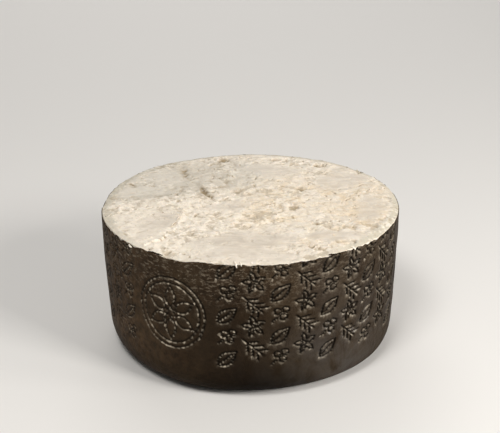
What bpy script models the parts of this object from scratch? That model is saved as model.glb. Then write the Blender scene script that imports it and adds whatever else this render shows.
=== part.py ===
"""Half of a wheel of pecorino romano, broken across and standing on its flat end.

The frame is in metres with +Z up. The origin is the middle of the flat foot, Z is the wheel's
axis and the side seen first is -Y. A black rind covers the side and the foot. The upper face
is the break: scraped smooth in patches, crumbly between them, with a ledge, a ridge of crumbs,
a long crack and small pits. It was made by prising, so it dips and rises along its rim.
"""

import math

import bmesh
import bpy
from mathutils import Matrix, Vector, noise

MM = 0.001
NOISE_SHIFT = Vector((5.2, 11.7, 3.1))

# The wheel: a drum that draws in a little towards its foot, on a rounded corner.
WHEEL_RADIUS = 150 * MM
CUT_HEIGHT = 142.7 * MM
CUT_TILT = math.radians(0.55)
SIDE_TAPER = 5.0 * MM
TAPER_POWER = 1.6
CORNER_RISE = 27.6 * MM
CORNER_RUN = 25.0 * MM

# The wheel sagged on the shelf: where its side swells low down (angle, depth in mm, half width in
# degrees), and lobes of the corner's rise and run (how many, how deep, towards which angle).
SIDE_SWELLS = ((253, 4.6, 21), (340, 1.7, 16), (100, 2.6, 28), (45, 0.9, 14))
RISE_LOBES = ((1, 3.0 * MM, 157), (2, 4.3 * MM, -7))
RUN_LOBES = ((1, 3.5 * MM, 77), (2, 7.5 * MM, 79))

# The drum is turned taller than the break, in columns of flat facets.
STOCK_HEIGHT = 160 * MM
COLUMNS = 96
SIDE_ROWS = 4
CORNER_ROWS = 5
MERGE_DISTANCE = 0.01 * MM

# The grid of the break.
BREAK_SPAN = 318 * MM
BREAK_CELLS = 60
BREAK_JITTER = 0.5
JITTER_SIZE = 1.3
CUTTER_TOP = 175 * MM

# Ornament pressed into the rind while it was soft. Round medallions have a ring of pricks
# round a rosette of petals and a small eye; leaves lean to and fro in staggered rows between.
MEDALLIONS = 3
FIRST_MEDALLION = 240
MEDALLION_HEIGHT = 84 * MM
MEDALLION_ROOM = 88 * MM
RINGS = ((36 * MM, 26), (4.0 * MM, 4))
PETALS = 6
# Pricks at both sides and the tip of a petal: how far out, and how far aside in degrees.
PETAL_PRICKS = ((17.5 * MM, -19), (17.5 * MM, 19), (26 * MM, 0))
LEAF_COLUMNS = 9
LEAF_ROW_PITCH = 22.5 * MM
FIRST_LEAF_HEIGHT = 45 * MM
LAST_LEAF_HEIGHT = 132 * MM
LEAF_LEAN = math.radians(42)
PRESS_DEPTH = 1.4 * MM
PRESS_STAND_OUT = 0.8 * MM
PRICK_HALF_WIDTH = 2.0 * MM
PRICK_STRETCH = 1.35
LEAF_HALF_WIDTH = 2.4 * MM
LEAF_STRETCH = 2.7

# Relief of the break: slow swells, crumbs as large as beans and crumbs as large as peas.
SWELL_SIZE = 62 * MM
SWELL_DEPTH = 1.3 * MM
CLOD_SIZE = 19 * MM
CLOD_DEPTH = 1.7 * MM
CLOD_MIDDLE = 0.45
CRUMB_SIZE = 8.5 * MM
CRUMB_DEPTH = 1.0 * MM
SCRAPED_ROUGHNESS = 0.12

# Patches scraped smooth by the knife: middle x and y, half length, half width in mm, turn.
SCRAPED_PATCHES = (
    (-90, -53, 32, 16, 67),
    (-2, -97, 47, 24, 4),
    (-4, -128, 50, 15, 1),
    (82, -86, 27, 12, -6),
    (121, -18, 16, 33, -12),
    (-90, 74, 25, 17, -18),
    (-112, 38, 28, 11, 12),
    (-22, -6, 24, 9, 8),
    (96, 62, 30, 21, 35),
    (18, 92, 34, 20, -12),
)
PATCH_WARP = 9 * MM
PATCH_WARP_SIZE = 23 * MM
PATCH_EDGE = 0.32

# A ledge across the left of the break: the cheese behind it broke out lower.
LEDGE = ((-149, -4), (-134, 1), (-112, 12), (-90, 17), (-68, 24), (-46, 20))
LEDGE_DROP = 2.6 * MM
LEDGE_LIP = 3.5 * MM
LEDGE_FLOOR = 12 * MM
LEDGE_REACH = 58 * MM
LEDGE_FADE = 0.82

# A ridge of crumbs pushed up beside the scraped patch on the left.
RIDGE = ((-66, -18), (-68, -38), (-71, -56), (-77, -75), (-87, -92), (-99, -104))
RIDGE_HEIGHT = 1.6 * MM
RIDGE_HALF_WIDTH = 2.6 * MM

# A crack from the back left to the middle: x, y and depth in mm.
CRACK = ((-78, 112, 0), (-71, 98, 3.2), (-69, 80, 3.0), (-62, 66, 0.6), (-55, 53, 0.8),
         (-49, 41, 3.8), (-44, 26, 5.2), (-38, 12, 0))
CRACK_HALF_WIDTH = 3.4 * MM

# Pits where crumbs fell out: x, y, radius and depth in mm.
PITS = (
    (58, -111, 3.5, 3.0), (65, -117, 3.2, 2.6), (86, -104, 3.4, 1.8), (97, -100, 3.6, 1.8),
    (-12, 34, 7.0, 2.0), (-26, 61, 6.0, 1.6), (-124, 53, 5.0, 1.0), (-36, -27, 5.5, 1.6),
    (-76, -118, 3.6, 2.0), (-28, 127, 7.0, 3.2), (63, -55, 5.0, 1.6), (122, -60, 4.0, 1.6),
    (52, 38, 6.5, 2.6), (74, 108, 5.5, 2.4), (117, 86, 5.0, 2.2), (28, 128, 5.0, 2.0),
    (44, -14, 6.0, 2.2), (4, -38, 5.0, 1.5),
)

# The rim of the break: where it dips (angle, depth in mm, half width of the dip in degrees),
# and the shoulder where the edge has crumbled away (angle, depth in mm, half width in degrees).
RIM_DIPS = ((242, 1.7, 7), (303, -1.0, 13), (332, -0.7, 18), (62, 1.5, 18), (112, 0.9, 10),
            (212, -0.6, 14), (20, -0.6, 16), (172, 0.8, 12))
RIM_DIP_REACH = 55 * MM
SHOULDER_DROP = 0.7 * MM
SHOULDERS = ((334, 1.3, 22), (12, 1.2, 16), (96, 0.8, 20), (212, 0.6, 12))
SHOULDER_WIDTH = 8 * MM

# Edges that turn by more than this stay sharp.
SHARP_ANGLE = math.radians(22)

# Colours, roughness and metallic value.
RIND_COLOUR = (0.018, 0.014, 0.011, 1.0)
RIND_ROUGHNESS = 0.42
PASTE_COLOUR = (0.78, 0.68, 0.54, 1.0)
PASTE_ROUGHNESS = 0.8


def lobes(terms, angle):
    """Sum of the lobes round the wheel at an angle."""
    return sum(size * math.cos(count * (angle - math.radians(toward)))
               for count, size, toward in terms)


def smooth_step(low, high, value):
    """0 below low, 1 above high and a smooth rise between them."""
    part = min(1.0, max(0.0, (value - low) / (high - low)))
    return part * part * (3.0 - 2.0 * part)


def bell(angle, terms):
    """Sum of bell-shaped bumps round the rim, in metres."""
    total = 0.0
    for middle, size, half_width in terms:
        apart = (math.degrees(angle) - middle + 180.0) % 360.0 - 180.0
        total += size * MM * math.exp(-0.5 * (apart / half_width) ** 2)
    return total


def beside(route, x, y):
    """Distance from a route, positive on its left, with the nearest stretch and share of it."""
    nearest = None
    for index in range(len(route) - 1):
        start = Vector(route[index][:2]) * MM
        step = Vector(route[index + 1][:2]) * MM - start
        offset = Vector((x, y)) - start
        share = min(1.0, max(0.0, offset.dot(step) / step.length_squared))
        apart = (offset - step * share).length
        if nearest is None or apart < abs(nearest[0]):
            side = 1.0 if step.cross(offset) >= 0.0 else -1.0
            nearest = (side * apart, index, share)
    return nearest


def scraped(x, y):
    """1 where the break is scraped smooth, 0 where it is crumbly."""
    place = Vector((x, y, 0.0)) / PATCH_WARP_SIZE
    warped_x = x + PATCH_WARP * noise.noise(place)
    warped_y = y + PATCH_WARP * noise.noise(place + NOISE_SHIFT)
    cover = 0.0
    for middle_x, middle_y, half_length, half_width, turn in SCRAPED_PATCHES:
        away_x = warped_x - middle_x * MM
        away_y = warped_y - middle_y * MM
        along = away_x * math.cos(math.radians(turn)) + away_y * math.sin(math.radians(turn))
        across = away_y * math.cos(math.radians(turn)) - away_x * math.sin(math.radians(turn))
        reach = math.hypot(along / (half_length * MM), across / (half_width * MM))
        cover = max(cover, 1.0 - smooth_step(1.0 - PATCH_EDGE, 1.0 + PATCH_EDGE, reach))
    return cover


def ledge_drop(x, y):
    """How much lower the cheese lies behind the ledge."""
    apart, index, share = beside(LEDGE, x, y)
    along = (index + share) / (len(LEDGE) - 1)
    fade = 1.0 - smooth_step(LEDGE_FADE, 1.0, along)
    rise = smooth_step(LEDGE_FLOOR, LEDGE_REACH, apart)
    return LEDGE_DROP * fade * smooth_step(0.0, LEDGE_LIP, apart) * (1.0 - rise)


def crack_depth(x, y):
    """Depth of the crack."""
    apart, index, share = beside(CRACK, x, y)
    depth = CRACK[index][2] * (1.0 - share) + CRACK[index + 1][2] * share
    return depth * MM * math.exp(-((apart / CRACK_HALF_WIDTH) ** 2))


def pit_depth(x, y):
    """Depth of the pits."""
    total = 0.0
    for pit_x, pit_y, radius, depth in PITS:
        apart = math.hypot(x - pit_x * MM, y - pit_y * MM) / (radius * MM)
        total += depth * MM * math.exp(-(apart ** 2))
    return total


def crumbs(x, y):
    """Height of the clods and crumbs that stand on the crumbly parts."""
    place = Vector((x, y, 0.0))
    clod_apart = noise.voronoi(place / CLOD_SIZE)[0]
    clod = min(1.0, clod_apart[1] - clod_apart[0])
    crumb = noise.noise(place / CRUMB_SIZE + NOISE_SHIFT)
    return CLOD_DEPTH * (clod - CLOD_MIDDLE) + CRUMB_DEPTH * crumb


def cut_height(x, y):
    """Height of the break above the foot."""
    radius = math.hypot(x, y)
    angle = math.atan2(y, x)
    height = CUT_HEIGHT + math.tan(CUT_TILT) * x
    height += SWELL_DEPTH * noise.noise(Vector((x, y, 0.0)) / SWELL_SIZE)
    height += crumbs(x, y) * (1.0 - (1.0 - SCRAPED_ROUGHNESS) * scraped(x, y))
    height -= ledge_drop(x, y) + crack_depth(x, y) + pit_depth(x, y)
    ridge_apart = beside(RIDGE, x, y)[0]
    height += RIDGE_HEIGHT * math.exp(-((ridge_apart / RIDGE_HALF_WIDTH) ** 2))
    from_rim = WHEEL_RADIUS - radius
    height -= bell(angle, RIM_DIPS) * (1.0 - smooth_step(0.0, RIM_DIP_REACH, from_rim))
    shoulder = SHOULDER_DROP + bell(angle, SHOULDERS)
    return height - shoulder * (1.0 - smooth_step(0.0, SHOULDER_WIDTH, from_rim))


def side_radius(angle, down):
    """Radius of the side, where down is 0 at the break and 1 at the corner."""
    drawn_in = SIDE_TAPER - bell(angle, SIDE_SWELLS)
    return WHEEL_RADIUS - drawn_in * max(0.0, down) ** TAPER_POWER


def drum_profile():
    """Half section of the round drum, from the top on the axis to the foot on the axis."""
    points = [(0.0, STOCK_HEIGHT), (WHEEL_RADIUS, STOCK_HEIGHT)]
    for row in range(SIDE_ROWS):
        points.append((WHEEL_RADIUS, CUT_HEIGHT - (CUT_HEIGHT - CORNER_RISE) * row / SIDE_ROWS))
    for row in range(CORNER_ROWS + 1):
        turn = math.pi / 2 * row / CORNER_ROWS
        points.append((WHEEL_RADIUS - CORNER_RUN * (1.0 - math.cos(turn)),
                       CORNER_RISE * (1.0 - math.sin(turn))))
    points.append((0.0, 0.0))
    return points


def settle(point):
    """Move a point of the round drum to the uneven outline of the wheel."""
    angle = math.atan2(point.y, point.x)
    if point.z >= CORNER_RISE:
        rise = CORNER_RISE + lobes(RISE_LOBES, angle)
        down = (CUT_HEIGHT - point.z) / (CUT_HEIGHT - CORNER_RISE)
        scale = side_radius(angle, down) / WHEEL_RADIUS
        height = CUT_HEIGHT - down * (CUT_HEIGHT - rise)
    else:
        turn = math.asin(min(1.0, 1.0 - point.z / CORNER_RISE))
        inward = 1.0 - math.cos(turn)
        run = CORNER_RUN + lobes(RUN_LOBES, angle)
        scale = (side_radius(angle, 1.0) - run * inward) / (WHEEL_RADIUS - CORNER_RUN * inward)
        height = point.z * (1.0 + lobes(RISE_LOBES, angle) / CORNER_RISE)
    return Vector((point.x * scale, point.y * scale, height))


def make_material(name, colour, roughness):
    """A plain Principled material."""
    material = bpy.data.materials.new(name)
    material.use_nodes = True
    shader = material.node_tree.nodes["Principled BSDF"]
    shader.inputs["Base Color"].default_value = colour
    shader.inputs["Roughness"].default_value = roughness
    shader.inputs["Metallic"].default_value = 0.0
    material.diffuse_color = colour
    return material


def make_collection(name):
    """A collection in the scene."""
    collection = bpy.data.collections.new(name)
    bpy.context.scene.collection.children.link(collection)
    return collection


def turned(name, points, steps, collection):
    """A closed turned shape as an applied mesh."""
    mesh = bpy.data.meshes.new(name)
    edges = [(index, index + 1) for index in range(len(points) - 1)]
    mesh.from_pydata([(x, 0.0, z) for x, z in points], edges, [])
    shape = bpy.data.objects.new(name, mesh)
    collection.objects.link(shape)
    screw = shape.modifiers.new("turn", "SCREW")
    screw.steps = steps
    screw.render_steps = steps
    screw.use_merge_vertices = True
    screw.merge_threshold = MERGE_DISTANCE
    bpy.context.view_layer.update()
    solid = bpy.data.meshes.new_from_object(
        shape.evaluated_get(bpy.context.evaluated_depsgraph_get()))
    shape.modifiers.clear()
    shape.data = solid
    bpy.data.meshes.remove(mesh)
    solid.name = name
    return shape


def make_drum(collection):
    """The drum with its rind, still taller than the break."""
    drum = turned("half_wheel", drum_profile(), COLUMNS, collection)
    for vertex in drum.data.vertices:
        vertex.co = settle(vertex.co)
    drum.data.materials.append(make_material("black_rind", RIND_COLOUR, RIND_ROUGHNESS))
    return drum


def make_break(collection):
    """The cutter whose underside is the break."""
    mesh = bpy.data.meshes.new("break")
    shape = bmesh.new()
    bmesh.ops.create_grid(shape, x_segments=BREAK_CELLS, y_segments=BREAK_CELLS,
                          size=BREAK_SPAN / 2)
    cell = BREAK_SPAN / BREAK_CELLS
    for vertex in shape.verts:
        place = vertex.co / (JITTER_SIZE * cell)
        x = vertex.co.x + BREAK_JITTER * cell * noise.noise(place)
        y = vertex.co.y + BREAK_JITTER * cell * noise.noise(place + NOISE_SHIFT)
        vertex.co = Vector((x, y, cut_height(x, y)))
    top = bmesh.ops.extrude_face_region(shape, geom=shape.faces[:])
    for item in top["geom"]:
        if isinstance(item, bmesh.types.BMVert):
            item.co.z = CUTTER_TOP
    bmesh.ops.recalc_face_normals(shape, faces=shape.faces[:])
    shape.to_mesh(mesh)
    shape.free()
    mesh.materials.append(make_material("cheese_paste", PASTE_COLOUR, PASTE_ROUGHNESS))
    cutter = bpy.data.objects.new("break", mesh)
    cutter.hide_render = True
    cutter.display_type = "WIRE"
    collection.objects.link(cutter)
    return cutter


def medallion_pricks():
    """Places of a medallion's pricks: across, up and the way each one is drawn out."""
    for radius, count in RINGS:
        for step in range(count):
            turn = math.tau * step / count
            yield radius * math.cos(turn), radius * math.sin(turn), turn + math.pi / 2
    for petal in range(PETALS):
        middle = math.tau * (petal + 0.5) / PETALS
        for radius, aside in PETAL_PRICKS:
            turn = middle + math.radians(aside)
            yield radius * math.cos(turn), radius * math.sin(turn), middle


def field_leaves():
    """Places of the leaves between two medallions: across, height and lean."""
    pitch = math.tau * WHEEL_RADIUS / MEDALLIONS
    column_pitch = (pitch - MEDALLION_ROOM) / LEAF_COLUMNS
    for column in range(LEAF_COLUMNS):
        across = MEDALLION_ROOM / 2 + column_pitch * (column + 0.5)
        odd = column % 2
        height = FIRST_LEAF_HEIGHT + LEAF_ROW_PITCH / 2 * odd
        while height < LAST_LEAF_HEIGHT:
            yield across, height, LEAF_LEAN * (1 - 2 * odd)
            height += LEAF_ROW_PITCH


def press(shape, angle, height, drawn, half_width, stretch):
    """Add a pointed stud to the cutter that dents the side at an angle and a height."""
    stud_height = PRESS_DEPTH + PRESS_STAND_OUT
    down = (CUT_HEIGHT - height) / (CUT_HEIGHT - CORNER_RISE)
    radius = side_radius(angle, down) + PRESS_STAND_OUT - stud_height / 2
    place = (Matrix.Rotation(angle, 4, "Z") @ Matrix.Translation((radius, 0.0, height))
             @ Matrix.Rotation(-math.pi / 2, 4, "Y") @ Matrix.Rotation(math.pi / 2 - drawn, 4, "Z")
             @ Matrix.Scale(stretch, 4, (1.0, 0.0, 0.0)))
    bmesh.ops.create_cone(shape, cap_ends=True, segments=4, depth=stud_height, radius2=0.0,
                          radius1=half_width * stud_height / PRESS_DEPTH, matrix=place)


def make_ornament(collection):
    """The cutter that presses the ornament into the rind."""
    mesh = bpy.data.meshes.new("ornament")
    shape = bmesh.new()
    for medallion in range(MEDALLIONS):
        middle = math.radians(FIRST_MEDALLION) + math.tau * medallion / MEDALLIONS
        for across, up, drawn in medallion_pricks():
            press(shape, middle + across / WHEEL_RADIUS, MEDALLION_HEIGHT + up, drawn,
                  PRICK_HALF_WIDTH, PRICK_STRETCH)
        for across, height, lean in field_leaves():
            press(shape, middle + across / WHEEL_RADIUS, height, lean, LEAF_HALF_WIDTH,
                  LEAF_STRETCH)
    bmesh.ops.recalc_face_normals(shape, faces=shape.faces[:])
    shape.to_mesh(mesh)
    shape.free()
    cutter = bpy.data.objects.new("ornament", mesh)
    cutter.hide_render = True
    cutter.display_type = "WIRE"
    collection.objects.link(cutter)
    return cutter


def cut(body, cutter):
    """Take the cutter away from the body."""
    boolean = body.modifiers.new("cut_by_" + cutter.name, "BOOLEAN")
    boolean.operation = "DIFFERENCE"
    boolean.solver = "EXACT"
    boolean.material_mode = "TRANSFER"
    boolean.object = cutter


def main():
    """Build the half wheel."""
    for leftover in list(bpy.data.objects):
        bpy.data.objects.remove(leftover, do_unlink=True)
    parts = make_collection("pecorino_romano")
    cutters = make_collection("cutters")
    drum = make_drum(parts)
    cut(drum, make_ornament(cutters))
    cut(drum, make_break(cutters))
    drum.data.shade_smooth()
    drum.data.set_sharp_from_angle(angle=SHARP_ANGLE)


main()
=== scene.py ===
"""Looks of a half wheel of pecorino romano with a black rind, standing on its flat end.

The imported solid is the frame. Its one node is replaced by a fine paste with the break across
it, a thin rind with pricked ornament, and the crumbs and slivers that lie on the break. All
lengths are metres, +Z is up and the side seen first is -Y.
"""

from __future__ import annotations

import logging
import math
import random
from collections.abc import Iterator, Sequence
from dataclasses import dataclass
from enum import Enum
from functools import partial
from typing import Any

import bmesh
import bpy
import numpy as np
from bmesh.types import BMesh
from bpy.types import Material, Mesh, NodeSocket, NodeTree, Object
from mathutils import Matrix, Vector, noise
from mathutils.geometry import delaunay_2d_cdt


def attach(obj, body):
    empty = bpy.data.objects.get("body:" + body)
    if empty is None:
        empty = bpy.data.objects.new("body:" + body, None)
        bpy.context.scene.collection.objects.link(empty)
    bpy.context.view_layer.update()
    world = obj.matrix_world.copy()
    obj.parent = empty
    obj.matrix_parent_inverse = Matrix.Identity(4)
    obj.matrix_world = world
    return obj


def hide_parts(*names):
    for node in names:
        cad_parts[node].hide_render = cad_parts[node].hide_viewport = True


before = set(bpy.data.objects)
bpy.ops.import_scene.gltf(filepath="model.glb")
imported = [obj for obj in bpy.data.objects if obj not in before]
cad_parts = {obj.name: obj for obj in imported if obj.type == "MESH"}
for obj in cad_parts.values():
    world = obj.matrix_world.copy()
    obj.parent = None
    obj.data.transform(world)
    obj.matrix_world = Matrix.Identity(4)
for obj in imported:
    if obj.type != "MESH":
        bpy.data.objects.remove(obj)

LOG = logging.getLogger("half_wheel")
MM = 0.001
BODY = "root"
NODE = "half_wheel"
# How far out in mm a sliver still lies on the break.
RIM_SIDE = 149.2
SLIVER_SIDES = 6
NOISE_SHIFT = np.array((5.2, 11.7, 3.1))
Points = np.ndarray
Colour = tuple[float, float, float, float]


# ------------ small helpers


def linear(red: float, green: float, blue: float) -> Colour:
    """Turn a colour as seen on a screen, 0 to 255, into a linear colour."""
    def channel(value: float) -> float:
        """Linear value of one channel."""
        share = value / 255.0
        return share / 12.92 if share <= 0.04045 else ((share + 0.055) / 1.055) ** 2.4
    return channel(red), channel(green), channel(blue), 1.0


def smooth_step(low: float, high: float, value: Points) -> Points:
    """Rise smoothly from 0 at low to 1 at high."""
    part = np.clip((value - low) / (high - low), 0.0, 1.0)
    return part * part * (3.0 - 2.0 * part)


def fall(low: float, high: float, value: Points) -> Points:
    """Fall smoothly from 1 at low to 0 at high."""
    return 1.0 - smooth_step(low, high, value)


def noise_at(x: Points, y: Points, size: float, shift: float = 0.0) -> Points:
    """Smooth noise over a plane.

    Args:
        x: First coordinates.
        y: Second coordinates.
        size: Size of the lumps.
        shift: Moves the pattern, in lots of the shared noise shift.

    Returns:
        Values between -1 and 1.
    """
    places = np.column_stack((x, y, np.zeros_like(x))) / size + shift * NOISE_SHIFT
    return np.fromiter((noise.noise(place) for place in places.tolist()), float, len(places))


def shaken(x: Points, y: Points, reach: float, size: float, shift: float,
           step: float = 1.0) -> tuple[Points, Points]:
    """Move points about by one noise each way, a step of shift apart."""
    return (x + reach * noise_at(x, y, size, shift), y + reach * noise_at(x, y, size, shift + step))


def clods_at(x: Points, y: Points, size: float) -> Points:
    """Rounded clods with creases between them, 0 in a crease and 1 on a clod."""
    places = np.column_stack((x, y, np.zeros_like(x))) / size
    apart = (noise.voronoi(place)[0] for place in places.tolist())
    return np.fromiter((min(1.0, pair[1] - pair[0]) for pair in apart), float, len(places))


def grains_at(x: Points, y: Points, size: float, tilt: float, soft: float) -> Points:
    """Height of broken grains, each with a level and a tilt of its own.

    Args:
        x: First coordinates.
        y: Second coordinates.
        size: Size of a grain.
        tilt: Steepest tilt of a grain's face.
        soft: How far neighbouring grains run into each other, as a share of the size.

    Returns:
        Heights in grain sizes, about -0.5 to 0.5.
    """
    places = np.column_stack((x, y, np.zeros_like(x))) / size
    found = [noise.voronoi(place) for place in places.tolist()]
    apart = np.array([pair[0][:3] for pair in found])
    middles = np.array([[tuple(point) for point in pair[1][:3]] for pair in found])
    luck = np.sin(middles[..., 0] * 12.9898 + middles[..., 1] * 78.233 + middles[..., 2] * 37.719)
    level = np.modf(np.abs(luck) * 43758.5453)[0]
    heading = np.modf(np.abs(luck) * 9631.337)[0] * math.tau
    away = places[:, None, :] - middles
    face = level - 0.5 + tilt * (away[..., 0] * np.cos(heading) + away[..., 1] * np.sin(heading))
    weight = np.exp(-(apart - apart[:, :1]) / soft)
    return (face * weight).sum(axis=1) / weight.sum(axis=1)


def bell(angle: Points, terms: Sequence[tuple[float, float, float]]) -> Points:
    """Bell-shaped bumps round the wheel.

    Args:
        angle: Angles in radians.
        terms: For each bump its angle, its height in mm and its half width in degrees.

    Returns:
        The sum of the bumps in metres.
    """
    total = np.zeros_like(angle)
    for middle, size, half_width in terms:
        apart = (np.degrees(angle) - middle + 180.0) % 360.0 - 180.0
        total += size * MM * np.exp(-0.5 * (apart / half_width) ** 2)
    return total


def share_round(angle: Points, terms: Sequence[tuple[float, float, float]]) -> Points:
    """Bell-shaped shares round the wheel: for each its angle, its height and its half width."""
    return bell(angle, terms) / MM


def lobes(angle: Points, terms: Sequence[tuple[int, float, float]]) -> Points:
    """Even lobes round the wheel: how many, how high and towards which angle."""
    return sum(size * np.cos(count * (angle - math.radians(toward))) for count, size, toward in terms)


def beside(route: Sequence[Sequence[float]], x: Points, y: Points) -> tuple[Points, Points]:
    """Find where points lie beside a route given in mm.

    Args:
        route: The route's points.
        x: First coordinates in metres.
        y: Second coordinates in metres.

    Returns:
        The distance, positive on the left, and how far along the route in stretches.
    """
    best = np.full_like(x, np.inf)
    along = np.zeros_like(x)
    for index in range(len(route) - 1):
        start = np.array(route[index][:2]) * MM
        step = np.array(route[index + 1][:2]) * MM - start
        share = np.clip(((x - start[0]) * step[0] + (y - start[1]) * step[1]) / (step @ step), 0, 1)
        away_x = x - start[0] - share * step[0]
        away_y = y - start[1] - share * step[1]
        side = np.where(step[0] * (y - start[1]) - step[1] * (x - start[0]) >= 0.0, 1.0, -1.0)
        apart = side * np.hypot(away_x, away_y)
        nearer = np.abs(apart) < np.abs(best)
        best = np.where(nearer, apart, best)
        along = np.where(nearer, index + share, along)
    return best, along


def closed_rows(rows: int, count: int, first: int = 0) -> list[tuple[int, ...]]:
    """Faces between closed rows of points, and from the last row to the one point after it.

    Args:
        rows: How many rows follow each other.
        count: How many points a row has.
        first: Number of the first point.

    Returns:
        The faces.
    """
    faces = []
    for row in range(rows - 1):
        start = first + row * count
        below = start + count
        faces += [(start + step, below + step, below + (step + 1) % count, start + (step + 1) % count)
                  for step in range(count)]
    last = first + (rows - 1) * count
    return faces + [(last + step, last + count, last + (step + 1) % count) for step in range(count)]


def new_object(name: str, mesh: Mesh) -> Object:
    """Put a mesh into the scene as an object at the origin."""
    piece = bpy.data.objects.new(name, mesh)
    bpy.context.scene.collection.objects.link(piece)
    return piece


def mesh_from(name: str, vertices: Points, faces: Sequence[Sequence[int]] | Points) -> Mesh:
    """Make a mesh from vertices and faces."""
    mesh = bpy.data.meshes.new(name)
    mesh.from_pydata(vertices.tolist(), [], [list(map(int, face)) for face in faces])
    return mesh


def store(mesh: Mesh, name: str, values: Points) -> None:
    """Keep one number for each vertex on a mesh, for its material to read."""
    layer = mesh.attributes.get(name) or mesh.attributes.new(name, "FLOAT", "POINT")
    layer.data.foreach_set("value", values.astype(np.float32))


def mesh_of(name: str, shape: BMesh) -> Mesh:
    """Keep an edited shape as a mesh, and free the shape."""
    mesh = bpy.data.meshes.new(name)
    shape.to_mesh(mesh)
    shape.free()
    return mesh


def finish_piece(piece: Object, slot: str) -> None:
    """Smooth a finished piece and let it ride on the body in place of the node."""
    piece.data.shade_smooth()
    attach(piece, BODY)
    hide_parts(NODE)
    LOG.info("%s: %d faces", piece.name, len(piece.data.polygons))


def dressed_piece(mesh: Mesh, finish: Material, slot: str) -> Object:
    """Make a finished piece of a mesh, by the mesh's name.

    Args:
        mesh: The mesh, with its place in it.
        finish: Its material.
        slot: The record's slot; it is not used.

    Returns:
        The finished piece.
    """
    mesh.materials.append(finish)
    piece = new_object(mesh.name, mesh)
    finish_piece(piece, slot)
    return piece


# ------------ node wiring


class Wiring:
    """Adds nodes to a node tree and links them."""

    def __init__(self, tree: NodeTree) -> None:
        """Keep the tree that the nodes go into."""
        self.tree = tree

    def node(self, kind: str, inputs: dict[str | int, Any] | None = None, **settings: Any) -> Any:
        """Add a node.

        Args:
            kind: The node's type.
            inputs: Values or sockets for its inputs, by name or index.
            settings: Its own settings.

        Returns:
            The node.
        """
        made = self.tree.nodes.new(kind)
        for name, value in settings.items():
            setattr(made, name, value)
        for key, value in (inputs or {}).items():
            self.feed(made.inputs[key], value)
        return made

    def feed(self, socket: NodeSocket, value: Any) -> None:
        """Link a socket to another one, or set its value."""
        if isinstance(value, NodeSocket):
            self.tree.links.new(value, socket)
        else:
            socket.default_value = value

    def sum(self, kind: str, first: Any, second: Any = 0.0, third: Any = 0.0) -> NodeSocket:
        """Work out one number from up to three others."""
        return self.node("ShaderNodeMath", {0: first, 1: second, 2: third}, operation=kind).outputs[0]

    def times(self, first: Any, second: Any) -> NodeSocket:
        """Multiply two numbers."""
        return self.sum("MULTIPLY", first, second)

    def remap(self, value: Any, low: Any, high: Any, to_low: Any = 0.0, to_high: Any = 1.0,
              smooth: bool = False) -> NodeSocket:
        """Stretch a number from one range to another."""
        kind = "SMOOTHSTEP" if smooth else "LINEAR"
        return self.node("ShaderNodeMapRange",
                         {"Value": value, "From Min": low, "From Max": high,
                          "To Min": to_low, "To Max": to_high},
                         interpolation_type=kind).outputs[0]

    def blend(self, share: Any, first: Any, second: Any) -> NodeSocket:
        """Mix two colours."""
        made = self.node("ShaderNodeMix", {0: share, 6: first, 7: second}, data_type="RGBA")
        return made.outputs[2]

    def layers(self, colour: Any, coats: Sequence[tuple[Any, Any]]) -> Any:
        """Lay coats of colour over a first one, each with its share."""
        for share, over in coats:
            colour = self.blend(share, colour, over)
        return colour

    def mask(self, name: str) -> NodeSocket:
        """Read a number kept on the mesh, in a material."""
        return self.node("ShaderNodeAttribute", attribute_name=name).outputs["Fac"]

    def field(self, name: Any) -> NodeSocket:
        """Read a number kept on the mesh, in a geometry tree."""
        return self.node("GeometryNodeInputNamedAttribute", {"Name": name},
                         data_type="FLOAT").outputs[0]

    def kept(self, geometry: Any, name: str, value: Any) -> NodeSocket:
        """Keep a number on a mesh, in a geometry tree."""
        return self.node("GeometryNodeStoreNamedAttribute",
                         {"Geometry": geometry, "Name": name, "Value": value},
                         data_type="FLOAT", domain="POINT").outputs[0]

    def dress(self, target: Any, geometry: Any, finish: Any) -> None:
        """End a geometry tree with its material."""
        made = self.node("GeometryNodeSetMaterial", {"Geometry": geometry, "Material": finish})
        self.feed(target.inputs["Geometry"], made.outputs[0])

    def stretched(self, place: Any, scale: Sequence[float]) -> NodeSocket:
        """Stretch places along the axes."""
        return self.node("ShaderNodeMapping", {"Vector": place, "Scale": scale}).outputs[0]

    def streaks(self, place: Any, scale: Sequence[float], rough: float) -> NodeSocket:
        """Noise drawn out into streaks."""
        return self.node("ShaderNodeTexNoise", {"Vector": self.stretched(place, scale), "Scale": 1.0,
                                                "Detail": 3.0, "Roughness": rough}).outputs[0]

    def emboss(self, shader: Any, height: Any, strength: float, distance: float) -> None:
        """Roughen a shader's surface by a height."""
        made = self.node("ShaderNodeBump", {"Strength": strength, "Distance": distance,
                                            "Height": height})
        self.feed(shader.inputs["Normal"], made.outputs["Normal"])

    def group(self, tree: NodeTree, inputs: dict[str, Any]) -> Any:
        """Place a shared node group."""
        return self.node("ShaderNodeGroup", inputs, node_tree=tree)


def new_group(name: str, kind: str, inputs: dict[str, str],
              outputs: dict[str, str]) -> tuple[Wiring, Any, Any]:
    """Start a node group with named sockets.

    Args:
        name: The group's name.
        kind: The type of tree.
        inputs: The type of each input by its name.
        outputs: The type of each output by its name.

    Returns:
        The wiring of the tree, and its input and output nodes.
    """
    tree = bpy.data.node_groups.new(name, kind)
    for side, sockets in (("INPUT", inputs), ("OUTPUT", outputs)):
        for label, socket_type in sockets.items():
            tree.interface.new_socket(label, in_out=side, socket_type=f"NodeSocket{socket_type}")
    wiring = Wiring(tree)
    return wiring, wiring.node("NodeGroupInput"), wiring.node("NodeGroupOutput")


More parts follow.
